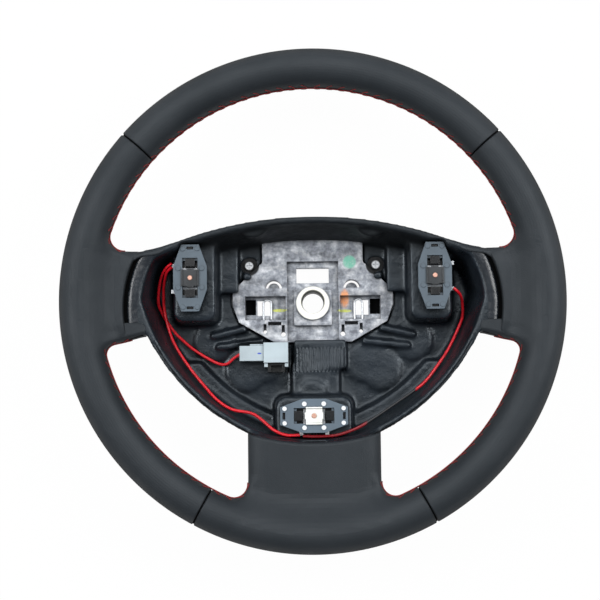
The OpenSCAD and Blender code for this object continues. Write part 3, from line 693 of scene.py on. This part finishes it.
tubes = []
for turn in (UNTURNED, MIRRORED):
    # the way that the spoke is turned, its two edges, and where the row starts and ends
    for turned, edge, other, start, end in (
        (turn, SIDE_UPPER, SIDE_LOWER, 90, 137.5),
        (turn @ UPSIDE_DOWN, SIDE_LOWER, SIDE_UPPER, 90 - SEAM_LOW, 132),
        (turn @ DOWNWARDS, LOW_EDGE, LOW_EDGE, SEAM_LOW, 133),
    ):
        tubes += sew(edge_track(edge, start, end), edge, other, turned)
stitches = joined("stitches", tubes)
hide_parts("stitching")
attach(stitches, "root")

# %% [markdown]
# ## Glossy bands beside the bowl
# Between the bowl and each side cover the moulding shows a smooth polished band, and
# the leather is tucked into a dark groove behind it. The band is a bead swept round the
# bowl's side, and a flat black strip under it closes the groove and paints its shade.

# %% Bands
BEAD_IN, BEAD_WIDTH = 73.4, 9.0
BEAD_Z, BEAD_RISE = 49.2, 1.15
BAND_KEEP = (-40, 34.5)
STRIP_KEEP = (-29.4, 36.2)
SWEEP_STEPS = 50


def swept(profile, start, end, keep, side):
    """Closed form: a (radius, height) profile turned round the side arc's centre."""
    verts = []
    for i in range(SWEEP_STEPS + 1):
        t = start + (end - start) * i / SWEEP_STEPS
        for r, z in profile:
            p = SIDE_ARC + polar(t, r)
            verts.append(Vector((side * p.x, min(max(p.y, keep[0]), keep[1]), z)))
    return verts, ring_faces(SWEEP_STEPS + 1, len(profile))


bead = [(BEAD_IN + BEAD_WIDTH * i / 12, BEAD_Z + BEAD_RISE * math.sin(math.pi * i / 12) ** 0.6)
        for i in range(13)]
bead = [(73.2, 46.0)] + bead + [(82.6, 47.5), (82.6, 45.2)]
# the strip is near black without gloss and paints the shade in the groove
strip = [(73.6, 40.0), (90.0, 40.0), (90.0, 48.8), (73.6, 48.8)]
bands, strips = [], []
for side, word in ((1, "right"), (-1, "left")):
    bands.append(joined("flange_band_" + word, [swept(bead, -8, 31, BAND_KEEP, side)], 40))
    strips.append(swept(strip, -16, 31, STRIP_KEEP, side))
for obj in bands:
    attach(obj, "root")

# %% [markdown]
# ## Laps at the corners of the side covers
# At both ends of the groove the side cover runs on over the moulding as a short lap. The
# upper lap narrows towards the bowl's lip and the lower one ends square. Each is a row of
# cross sections: a small lip at the groove, a flat back and a round outer edge.

# %% Laps
# Each station: across, edge at the groove, outer edge, height of the back
UPPER_LAP = ((109.0, 36.2, 41.1, 50.2), (113.0, 34.3, 40.0, 50.5), (117.0, 33.4, 39.0, 50.8),
             (121.0, 33.0, 38.1, 51.1), (125.0, 32.5, 37.1, 51.5), (128.0, 31.4, 36.7, 51.9),
             (131.0, 29.4, 36.7, 52.3), (134.0, 26.0, 36.7, 52.6))
LOWER_LAP = ((122.6, -17.9, -25.9, 50.2), (124.0, -16.5, -26.0, 50.6), (127.0, -16.1, -26.6, 51.0),
             (130.0, -15.9, -27.4, 51.4), (133.0, -15.9, -28.1, 51.8), (136.4, -15.9, -28.9, 52.3),
             (139.2, -15.9, -29.5, 53.3))
LAP_LOW = 42.0
LAP_ROUND, LAP_FALL = 4.2, 7.0


def lap(stations, side):
    """Closed strip through cross sections, rounded down at its outer edge."""
    verts = []
    for x, inner, outer, back in stations:
        out = 1 if outer > inner else -1
        width = abs(outer - inner)
        turned = min(LAP_ROUND, width * 0.7)
        profile = [(0.0, LAP_LOW), (0.0, back - 1.0), (0.25, back - 0.35), (0.9, back)]
        for i in range(9):
            a = math.pi / 2 * i / 8
            fall = LAP_FALL * (1 - math.cos(a))
            profile.append((width - turned + turned * math.sin(a), back - fall))
        profile.append((width, LAP_LOW))
        verts += [Vector((side * x, inner + out * y, z)) for y, z in profile]
    return verts, ring_faces(len(stations), len(profile))


laps = []
for side, word in ((1, "right"), (-1, "left")):
    forms = [lap(UPPER_LAP, side), lap(LOWER_LAP, side)]
    laps.append(joined("cover_laps_" + word, forms, 50))
for obj in laps:
    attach(obj, "root")

# %% [markdown]
# ## Dark backs
# Behind each side unit the moulding is open at one corner, and the outer two windows of
# the plate look onto dull black pads. Thin black plates stand behind those places as painted
# shade, and short rings of core stand under the four seams, so no bright floor shows through.

# %% Dark backs
RING_HALF_WIDTH = 2.5
RING_INSET = 1.0


def thin_plate(centre, size, heights, corner):
    """Plate with round corners between two heights."""
    count = 24
    verts = []
    for z in heights:
        for i in range(count):
            a = 2 * math.pi * (i + 0.5) / count
            x, y = (c + math.copysign(s / 2 - corner, f) + corner * f
                    for c, s, f in zip(centre, size, (math.cos(a), math.sin(a))))
            verts.append(Vector((x, y, z)))
    return verts, ring_faces(2, count)


def core_ring(at):
    """Short piece of the rim's core under a seam at an angle."""
    count, around = 6, 32
    verts = []
    for j in range(count + 1):
        t = at + RING_HALF_WIDTH * (2 * j / count - 1)
        for i in range(around):
            a = 2 * math.pi * (i + 0.5) / around
            p = polar(t, CENTRE_R + (GRIP_A - RING_INSET) * math.cos(a))
            z = (GRIP_A - RING_INSET) * math.sin(a) + math.copysign(GRIP_FLAT, math.sin(a))
            verts.append(Vector((p.x, p.y, RIM_Z + z)))
    return verts, ring_faces(count + 1, around)


rings = [core_ring(at) for at in (90 - SEAM_TOP, 90 + SEAM_TOP, -90 - SEAM_LOW, -90 + SEAM_LOW)]
plates = []
for side in (1, -1):
    # dark plates of painted shade: behind the open corner, then behind the outer window
    plates.append(thin_plate((side * 94.5, 40.25), (12.0, 7.5), (34.0, 35.5), 2.0))
    plates.append(thin_plate((side * 47.1, -2.5), (9.0, 12.0), (2.2, 2.6), 1.0))
backs = joined("dark_backs", strips + rings + plates, 40)
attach(backs, "root")

# %% [markdown]
# ## Horn leads
# Thin stranded wire in a red skin. It keeps a soft bend wherever it was pushed, so a
# smooth curve through a few measured points is all it takes.

# %% Leads
LEAD_R = 1.1


def smooth_path(points, gap=1.2):
    """Catmull-Rom curve through the points."""
    pts = [Vector(p) for p in points]
    path = []
    for i in range(len(pts) - 1):
        a, b, c, d = pts[max(i - 1, 0)], pts[i], pts[i + 1], pts[min(i + 2, len(pts) - 1)]
        count = max(2, round((c - b).length / gap))
        for k in range(count):
            t = k / count
            path.append(0.5 * (2 * b + (c - a) * t + (2 * a - 5 * b + 4 * c - d) * t * t
                               + (3 * b - a - 3 * c + d) * t**3))
    return path + [pts[-1]]


lead_points = {
    "lead_to_connector": [(-104.2, 28.1, 40.25), (-109, 24.5, 37), (-113.3, 16.8, 30),
                          (-115.6, 2, 23), (-113.2, -7, 18.4), (-104.8, -20.5, 14.2),
                          (-95, -30.2, 12.8), (-86.1, -37, 12.4), (-72.8, -44.5, 12.8),
                          (-65.5, -45.4, 14.5), (-59.5, -41, 16.4), (-54.5, -38, 17.1)],
    "lead_left_to_bottom": [(-104.2, 25.4, 40.25), (-108.4, 21.4, 35.5), (-111.2, 12, 27),
                            (-111.8, 0, 20.5), (-110.5, -10, 20), (-107.2, -22, 21.5),
                            (-103.6, -30.5, 24), (-97.6, -40.6, 26), (-90.2, -51, 28),
                            (-81.6, -61.5, 30.5), (-71.6, -72.6, 32), (-60.6, -79.6, 33),
                            (-46.5, -82.6, 33.6), (-38.6, -87.6, 35), (-30, -95, 38),
                            (-21.6, -98.8, 39.4), (-15, -99.2, 40.25), (-10.6, -99, 40.25)],
    "lead_bottom_to_right": [(104, 7.8, 40.25), (106.8, 5.6, 38.9), (109.6, 2.6, 34.2),
                             (111.3, -2, 28), (111.8, -11.9, 22.5), (107.6, -23, 22),
                             (100.3, -37, 25), (92.6, -48.2, 27), (83.6, -59.6, 29.5),
                             (76, -66, 31), (63.4, -74.6, 32.5), (48.5, -84.4, 34.5),
                             (33.6, -93.4, 37.4), (18.9, -98.8, 40), (9.5, -100, 40.4),
                             (0, -100.2, 40.2), (-8.4, -99.8, 40.25)],
}
leads = {}
for node, points in lead_points.items():
    path = smooth_path(points)
    leads[node] = joined(node + "_wire", [tube(path, LEAD_R, 16)])
    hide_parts(node)
    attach(leads[node], "root")
    length = sum((b - a).length for a, b in zip(path, path[1:]))
    print(node, round(length, 1), "mm long")

# %% [markdown]
# ## Coil springs
# Two short coil springs hold each contact plate up. Their end turns lie flat, and the
# turns between them rise. When the horn is pressed the plate comes down by 1.5 mm of the
# springs' 4 mm.

# %% Coil springs
SPRING_LOW, SPRING_HIGH = 38.0, 42.0
WIRE_R = 0.3
COIL_R = 2.2
TURNS = 3.5
FLAT_END = 0.16
SLIMMER = 0.97


def coil(x, y):
    """A spring with flat end turns, standing on its unit's base."""
    path = []
    for i in range(121):
        t = i / 120
        a = 2 * math.pi * TURNS * t
        rise = min(max((t - FLAT_END) / (1 - 2 * FLAT_END), 0.0), 1.0)
        z = SPRING_LOW + WIRE_R + (SPRING_HIGH - SPRING_LOW - 2 * WIRE_R) * rise
        path.append(Vector((x + COIL_R * math.cos(a), y + COIL_R * math.sin(a), z)))
    return tube(path, WIRE_R * SLIMMER)


spring_places = {
    "left": ((-90.2, -1.2), (-90.2, 35.4)),
    "right": ((90.2, -1.2), (90.2, 35.4)),
    "bottom": ((-18.3, -85.1), (18.3, -85.1)),
}
springs = []
for unit, places in spring_places.items():
    obj = joined("springs_" + unit, [coil(x, y) for x, y in places])
    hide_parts("contact_springs_" + unit)
    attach(obj, "root")
    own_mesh(obj)
    springs.append(obj)

# %% [markdown]
# ## Helpers for finishes
# No real surface has one colour or one gloss. Each finish below mixes two close colours
# with slow noise, darkens them in narrow places as painted shade, varies its roughness
# with faster noise and roughens its surface with fine noise. A bevel node rounds the sharp
# CAD edges in the light only. In all that follows, m is the node tree of the material in hand.

# %% Shader helpers


def ramp(m, source, stops):
    """Colour ramp fed by a value; stops are (place, grey or colour)."""
    node = m.nodes.new("ShaderNodeValToRGB")
    blend = node.color_ramp
    while len(blend.elements) < len(stops):
        blend.elements.new(0.5)
    for element, (at, colour) in zip(blend.elements, stops):
        element.position = at
        element.color = (colour,) * 3 + (1,) if isinstance(colour, float) else (*colour, 1)
    m.links.new(source, node.inputs["Fac"])
    return node.outputs["Color"]


def noise(m, scale, detail=4.0, rough=0.55, stretch=None):
    """Noise over the object's own coordinates, in metres."""
    source = m.nodes.new("ShaderNodeTexCoord").outputs["Object"]
    if stretch:
        mapping = m.nodes.new("ShaderNodeMapping")
        put(mapping, {"Scale": stretch})
        m.links.new(source, mapping.inputs["Vector"])
        source = mapping.outputs["Vector"]
    node = m.nodes.new("ShaderNodeTexNoise")
    put(node, {"Scale": scale, "Detail": detail, "Roughness": rough})
    m.links.new(source, node.inputs["Vector"])
    return node.outputs["Fac"]


def mottled(m, scale, low, high, detail=4.0, rough=0.55, at=(0.3, 0.7)):
    """Slow change between two colours or two greys."""
    return ramp(m, noise(m, scale, detail, rough), list(zip(at, (low, high))))


def bump(m, height, depth, strength=1.0, under=None):
    """Normal roughened by a height, over another normal where one is given."""
    node = m.nodes.new("ShaderNodeBump")
    put(node, {"Distance": depth, "Strength": strength})
    m.links.new(height, node.inputs["Height"])
    if under:
        m.links.new(under, node.inputs["Normal"])
    return node.outputs["Normal"]


def bevelled(m, radius):
    """Normal with sharp edges rounded in the light."""
    node = m.nodes.new("ShaderNodeBevel")
    node.samples = 6
    put(node, {"Radius": radius})
    return node.outputs["Normal"]


def times(m, a, b):
    return calc(m, "MULTIPLY", a, b)


def inverse(m, mask):
    return calc(m, "SUBTRACT", 1.0, mask)


def off(m, value, middle):
    """How far a value is from a middle one."""
    return calc(m, "ABSOLUTE", calc(m, "SUBTRACT", value, middle))


def span(m, a, b):
    """Length of a plan step."""
    return calc(m, "SQRT", calc(m, "ADD", times(m, a, a), times(m, b, b)))


def axes(m):
    """x, y and z of the object's own coordinates, in millimetres."""
    split = m.nodes.new("ShaderNodeSeparateXYZ")
    m.links.new(m.nodes.new("ShaderNodeTexCoord").outputs["Object"], split.inputs["Vector"])
    return [times(m, split.outputs[k], 1000.0) for k in "XYZ"]


def spot(m, at, size, soft=0.15, mirrored_too=False):
    """Mask that is 1 inside an ellipse seen from the front, in millimetres."""
    x, y, _ = axes(m)
    if mirrored_too:
        x = calc(m, "ABSOLUTE", x)
    dx = calc(m, "DIVIDE", calc(m, "SUBTRACT", x, at[0]), size[0])
    dy = calc(m, "DIVIDE", calc(m, "SUBTRACT", y, at[1]), size[1])
    return band(m, span(m, dx, dy), 1.0 - soft, 1.0 + soft)


def band(m, value, low, high):
    """1 below low and 0 above high, with a smooth step between."""
    node = m.nodes.new("ShaderNodeMapRange")
    node.interpolation_type = "SMOOTHSTEP"
    put(node, {"From Min": low, "From Max": high, "To Min": 1.0, "To Max": 0.0})
    m.links.new(value, node.inputs["Value"])
    return node.outputs["Result"]


def tinted(m, share, under, over):
    """Mixes two colours by a mask."""
    node = m.nodes.new("ShaderNodeMix")
    node.data_type = "RGBA"
    m.links.new(share, node.inputs["Factor"])
    for socket, value in ((node.inputs[6], under), (node.inputs[7], over)):
        if isinstance(value, tuple):
            socket.default_value = (*value, 1)
        else:
            m.links.new(value, socket)
    return node.outputs[2]


def shaded(m, colour, reach):
    """Darkens a colour in narrow places as painted shade."""
    node = m.nodes.new("ShaderNodeAmbientOcclusion")
    node.samples = 6
    put(node, {"Distance": reach})
    m.links.new(colour, node.inputs["Color"])
    return node.outputs["Color"]


def linear(r, g, b):
    """A colour given in screen values from 0 to 255, as linear light."""
    return tuple(c / 255 / 12.92 if c <= 10 else ((c / 255 + 0.055) / 1.055) ** 2.4
                 for c in (r, g, b))


def plain(name, colour, rough, metallic=0.0, grain=400.0, depth=0.00006, spec=0.5, edge=0.0004,
          spread=0.12):
    """Solid finish with a little variation of colour, gloss and surface."""
    material, m, shader = new_material(name)
    darker = tuple(c * (1 - spread) for c in colour)
    lighter = tuple(min(1.0, c * (1 + spread)) for c in colour)
    tone = mottled(m, 45.0, darker, lighter)
    # painted shade: the colour darkens in narrow places
    m.links.new(shaded(m, tone, 0.0012), shader.inputs["Base Color"])
    gloss = mottled(m, 80.0, max(0.05, rough - 0.06), rough + 0.06)
    m.links.new(gloss, shader.inputs["Roughness"])
    put(shader, {"Metallic": metallic, "Specular IOR Level": spec})
    under = bevelled(m, edge) if edge else None
    m.links.new(bump(m, noise(m, grain), depth, 0.6, under), shader.inputs["Normal"])
    return material


# %% [markdown]
# ## Leather
# Steering wheel leather is thin, tight and close grained. Its finish has a low sheen
# that hands polish on the grip. Fine noise gives the grain, a Voronoi pattern the small
# cells between the creases, and slow noise the polish that varies from place to place.
# Where the surface turns away from the camera, its colour is painted darker as shade.

# %% Leather
leather, m, shader = new_material("black_leather")
tone = mottled(m, 26.0, (0.0168, 0.0202, 0.0242), (0.0240, 0.0278, 0.0325))
edge_on = m.nodes.new("ShaderNodeLayerWeight")
put(edge_on, {"Blend": 0.5})
# painted shade: where the leather turns away from the camera its colour is tinted nearly black and
# its gloss made duller
turned_away_shade = ramp(m, edge_on.outputs["Facing"], [(0.32, 0.0), (0.88, 0.9)])
m.links.new(tinted(m, turned_away_shade, tone, (0.002, 0.0022, 0.0026)), shader.inputs["Base Color"])
dull = mottled(m, 55.0, 0.50, 0.60)
m.links.new(calc(m, "MULTIPLY_ADD", turned_away_shade, 0.25, dull), shader.inputs["Roughness"])
put(shader, {"Specular IOR Level": 0.36, "Specular Tint": (0.9, 0.96, 1.0, 1)})
cells = m.nodes.new("ShaderNodeTexVoronoi")
cells.feature = "DISTANCE_TO_EDGE"
put(cells, {"Scale": 900.0})
m.links.new(m.nodes.new("ShaderNodeTexCoord").outputs["Object"], cells.inputs["Vector"])
creases = bump(m, cells.outputs["Distance"], 0.0003, 0.3)
waves = bump(m, noise(m, 120.0, 2.0), 0.0006, 0.25, creases)
m.links.new(bump(m, noise(m, 2400.0), 0.00012, 0.45, waves), shader.inputs["Normal"])
for obj in list(covers.values()) + laps:
    obj.data.materials.append(leather)
print("leather on", len(covers) + len(laps), "pieces")

# %% [markdown]
# ## Moulded skin of the hub
# The hub shell and the core are one moulding of self skinning polyurethane. Its skin is
# black and shines where it lay against a polished mould, as on the lips and flanges. A
# narrow groove runs along each lower lip. It is too fine for the CAD, so it is drawn
# here as a bump with a dark line of painted shade in it. The upper wall, which faces away
# from the lamps, is painted darker as shade.

# %% Moulded skin
RIB_PITCH = 2.7

skin_mat, m, shader = new_material("moulded_skin")
x, y, z = axes(m)
away = calc(m, "ADD", calc(m, "ABSOLUTE", x), 16.4)
rise = calc(m, "SUBTRACT", y, 37.4)
groove = band(m, off(m, span(m, away, rise), 148.9), 0.35, 0.9)
low_part = band(m, y, -36.0, -30.0)
high_part = inverse(m, band(m, z, 34.0, 36.0))
groove = times(m, groove, times(m, low_part, high_part))
base = mottled(m, 30.0, (0.0065, 0.009, 0.012), (0.017, 0.0225, 0.0305), 5.0, 0.6, (0.32, 0.7))
# painted shade: a dark line along the groove of each lower lip
base_with_shade = tinted(m, groove, base, (0.003, 0.003, 0.0035))
# painted shade: the upper wall faces away from the lamps, so its colour is painted darker and its
# gloss made duller
below_lip = calc(m, "MULTIPLY_ADD", band(m, z, 44.0, 49.0), 0.35, 0.65)
painted_wall_shade = times(m, inverse(m, band(m, y, 33.0, 44.0)), below_lip)
base_with_shade = tinted(m, painted_wall_shade, base_with_shade, (0.0018, 0.0022, 0.0028))
# painted shade: the colour darkens in narrow places, within 12 mm
m.links.new(shaded(m, base_with_shade, 0.012), shader.inputs["Base Color"])
gloss = mottled(m, 42.0, 0.22, 0.46, 6.0, 0.65, (0.34, 0.66))
m.links.new(calc(m, "MULTIPLY_ADD", painted_wall_shade, 0.3, gloss), shader.inputs["Roughness"])
put(shader, {"Specular IOR Level": 0.5, "Specular Tint": (0.84, 0.93, 1.0, 1)})
wavy = bump(m, noise(m, 75.0, 4.0), 0.003, 0.3)
cut = bump(m, inverse(m, groove), 0.0006, 0.8, wavy)
crinkled = bump(m, noise(m, 230.0, 5.0, 0.6), 0.0012, 0.3, cut)
ribs = calc(m, "SINE", times(m, x, 2 * math.pi / RIB_PITCH))
centre_part = times(m, band(m, off(m, x, 0.0), 24.0, 26.0), band(m, off(m, y, -43.0), 8.0, 9.5))
ribbed = bump(m, times(m, ribs, centre_part), 0.0006, 0.6, crinkled)
m.links.new(bump(m, noise(m, 1500.0), 0.00008, 0.5, ribbed), shader.inputs["Normal"])

# %% [markdown]
# ## Cast magnesium
# The hub plate is pressure die cast. The metal comes out mottled, grey where it cooled
# against the die and lighter where it flowed, and the machined ring round the bore is
# cream white. Inspectors left paint marks on it: a green dot, an orange blot and two
# short yellow strokes.

# %% Metal
metal, m, shader = new_material("cast_magnesium")
blotch = ramp(m, noise(m, 130.0, 7.0, 0.66),
              [(0.35, (0.14, 0.15, 0.175)), (0.5, (0.35, 0.37, 0.41)), (0.66, (0.70, 0.71, 0.735))])
streak = ramp(m, noise(m, 70.0, 5.0, 0.6, (0.35, 1.6, 1.0)), [(0.38, 0.66), (0.62, 1.15)])
mixed = m.nodes.new("ShaderNodeMix")
mixed.data_type = "RGBA"
mixed.blend_type = "MULTIPLY"
put(mixed, {"Factor": 1.0})
m.links.new(blotch, mixed.inputs[6])
m.links.new(streak, mixed.inputs[7])
colour = mixed.outputs[2]
ring_mask = spot(m, (0.0, 0.0), (12.4, 12.4), 0.04)
colour = tinted(m, ring_mask, colour, (0.95, 0.93, 0.84))
post_mask = spot(m, (47.9, 28.9), (7.7, 7.7), 0.08, True)
colour = tinted(m, post_mask, colour, (0.004, 0.004, 0.005))
# painted shade: the visible wall inside the bore is painted dark
colour = tinted(m, spot(m, (0.0, 1.0), (8.9, 8.9), 0.05), colour, (0.03, 0.03, 0.026))
for at, size, soft, paint in (
    ((28.0, 31.0), (4.8, 4.8), 0.2, (0.17, 0.52, 0.38)),
    ((24.0, 3.5), (3.2, 6.2), 0.35, (0.86, 0.36, 0.15)),
    ((-25.5, -4.9), (5.6, 1.1), 0.3, (0.62, 0.66, 0.12)),
    ((23.8, -5.7), (5.2, 1.1), 0.3, (0.62, 0.66, 0.12)),
):
    ragged = times(m, spot(m, at, size, soft), mottled(m, 700.0, 0.5, 0.95, at=(0.3, 0.55)))
    colour = tinted(m, ragged, colour, paint)
# painted shade: the arms beyond 112 mm lie in the dark groove under the leather and are painted
# near black
shaded_arms = inverse(m, band(m, off(m, axes(m)[0], 0.0), 112.0, 113.0))
colour = tinted(m, shaded_arms, colour, (0.006, 0.006, 0.007))
# painted shade: the colour darkens in narrow places, within 3 mm
m.links.new(shaded(m, colour, 0.003), shader.inputs["Base Color"])
put(shader, {"Metallic": 0.3})
m.links.new(mottled(m, 150.0, 0.42, 0.62), shader.inputs["Roughness"])
pits = bump(m, noise(m, 900.0, 5.0, 0.6), 0.00025, 0.6, bevelled(m, 0.0007))
m.links.new(bump(m, noise(m, 140.0, 3.0), 0.0009, 0.35, pits), shader.inputs["Normal"])

# %% [markdown]
# ## Small parts
# The three contact units are alike, but the bottom one faces the light and looks much
# brighter: its stakes, bridge and terminals are almost white. The side units lie in the
# bowl's shade, with dull bridges and a darker plate.

# %% Small parts
UNIT_Y = -85.1
RED = (214, 20, 36)


def with_spots(material, spots, over):
    """Paints ellipses of one colour over a plain finish."""
    m = material.node_tree
    socket = m.nodes["Principled BSDF"].inputs["Base Color"]
    colour = socket.links[0].from_socket
    for at, size in spots:
        colour = tinted(m, spot(m, at, size, 0.2, True), colour, over)
    m.links.new(colour, socket)


stakes = [((x, UNIT_Y + y), (r, r)) for x, y, r in ((7.1, 8.7, 1.7), (7.1, -8.7, 1.7),
                                                    (21.6, 5.3, 1.6), (21.6, -5.3, 1.6))]
finishes = {
    "skin": skin_mat,
    "flange": plain("polished_flange", (0.013, 0.017, 0.023), 0.26, grain=55, depth=0.0018,
                    spread=0.3),
    "core": plain("dark_core", (0.008, 0.0085, 0.0095), 0.6, grain=1200),
    "metal": metal,
    "carrier": plain("black_plastic", linear(20, 21, 23), 0.28),
    # lit and shaded copies: the bottom unit's strip, plate and bridge are painted lighter as light,
    # the side units' darker as shade
    "strip": plain("tinned_strip", linear(205, 208, 212), 0.3, metallic=0.6),
    "strip_bottom": plain("tinned_strip_in_light", linear(236, 238, 240), 0.3, metallic=0.3),
    "plate": plain("grey_plastic", linear(85, 97, 107), 0.42),
    "plate_bottom": plain("grey_plastic_lit", linear(95, 109, 121), 0.42),
    "bridge": plain("contact_in_shade", linear(66, 68, 70), 0.35, metallic=0.6, spread=0.35),
    "bridge_bottom": plain("contact_in_light", linear(252, 253, 242), 0.35, metallic=0.1),
    "rivet": plain("copper_rivet", linear(226, 176, 156), 0.4, metallic=0.4),
    "spring": plain("spring_steel", linear(205, 208, 212), 0.3, metallic=0.7),
    "screw": plain("screw_steel", linear(30, 31, 33), 0.4, metallic=0.3),
    "connector": plain("pale_connector", linear(181, 194, 200), 0.42),
    "clip": plain("black_clip", linear(17, 18, 20), 0.35),
    "lead": plain("red_cable", linear(*RED), 0.3, grain=300, edge=0),
    "shaded_lead": plain("red_cable_shaded", linear(*RED), 0.3, grain=300, edge=0),
    "thread": plain("red_thread", linear(140, 26, 24), 0.7, grain=3000, edge=0),
}
# painted light: the stakes on the bottom plate are painted near white as lit
with_spots(finishes["plate_bottom"], stakes, (0.86, 0.88, 0.9))
with_spots(finishes["screw"], [((47.9, 28.9), (2.9, 2.9))], linear(214, 216, 219))
with_spots(finishes["connector"], [((40.4, -38.0), (1.5, 0.6))], (0.05, 0.10, 0.55))
finish_of = {
    "foam_body": "skin", "armature": "metal", "hub_screws": "screw", "retaining_springs": "spring",
    "connector_plug": "connector", "connector_socket": "connector", "connector_clip": "clip",
    "contact_plate_bottom": "plate_bottom", "contact_bridge_bottom": "bridge_bottom",
    "contact_strip_bottom": "strip_bottom",
}
for prefix, key in (("foam_core_", "core"), ("carrier_", "carrier"), ("contact_strip_", "strip"),
                    ("contact_plate_", "plate"), ("contact_bridge_", "bridge"),
                    ("contact_rivet_", "rivet")):
    for node in nodes:
        if node.startswith(prefix):
            finish_of.setdefault(node, key)
for node, key in finish_of.items():
    nodes[node].data.materials.clear()
    nodes[node].data.materials.append(finishes[key])
print(len(finish_of), "CAD nodes have a finish")

# %% [markdown]
# ## The shell's edges, the leads and the rest
# A moulding has no sharp edge anywhere, so the shell gets an even mesh that is then eased
# a little. Along the middle of the lead to the right unit its colour is painted near black,
# and under the bottom unit its red is painted darker as shade.

# %% Edges and leads
VOXEL = 0.0014
EASINGS = 9

body = nodes["foam_body"]
remesh = body.modifiers.new("even_mesh", "REMESH")
remesh.mode = "VOXEL"
remesh.voxel_size = VOXEL
remesh.use_smooth_shade = True
ease = body.modifiers.new("soft_edges", "SMOOTH")
ease.factor = 0.5
ease.iterations = EASINGS
m = finishes["shaded_lead"].node_tree
socket = m.nodes["Principled BSDF"].inputs["Base Color"]
x, y, _ = axes(m)
# painted dark: along the middle of the lead to the right unit its colour is painted near black
darkened_stretch = times(m, band(m, off(m, x, 57.0), 17.5, 19.5), band(m, y, -50.0, -45.0))
# painted shade: under the bottom unit the red is painted darker
in_shade = times(m, band(m, off(m, x, 15.0), 23.0, 26.0),
                 times(m, band(m, y, -80.0, -78.0), 0.8))
shaded_red = tinted(m, in_shade, socket.links[0].from_socket, (0.11, 0.008, 0.012))
m.links.new(tinted(m, darkened_stretch, shaded_red, (0.012, 0.012, 0.014)), socket)
for node, obj in leads.items():
    key = "shaded_lead" if node == "lead_bottom_to_right" else "lead"
    obj.data.materials.append(finishes[key])
for obj in bands:
    obj.data.materials.append(finishes["flange"])
stitches.data.materials.append(finishes["thread"])
for obj in springs:
    obj.data.materials.append(finishes["spring"])
# near black without gloss: the core rings' own colour, and painted shade on the plates and the
# strip under each band
backs.data.materials.append(plain("core_and_shade_black", (0.0015, 0.0016, 0.0018), 0.8, spec=0.05))
print("materials:", len(bpy.data.materials))
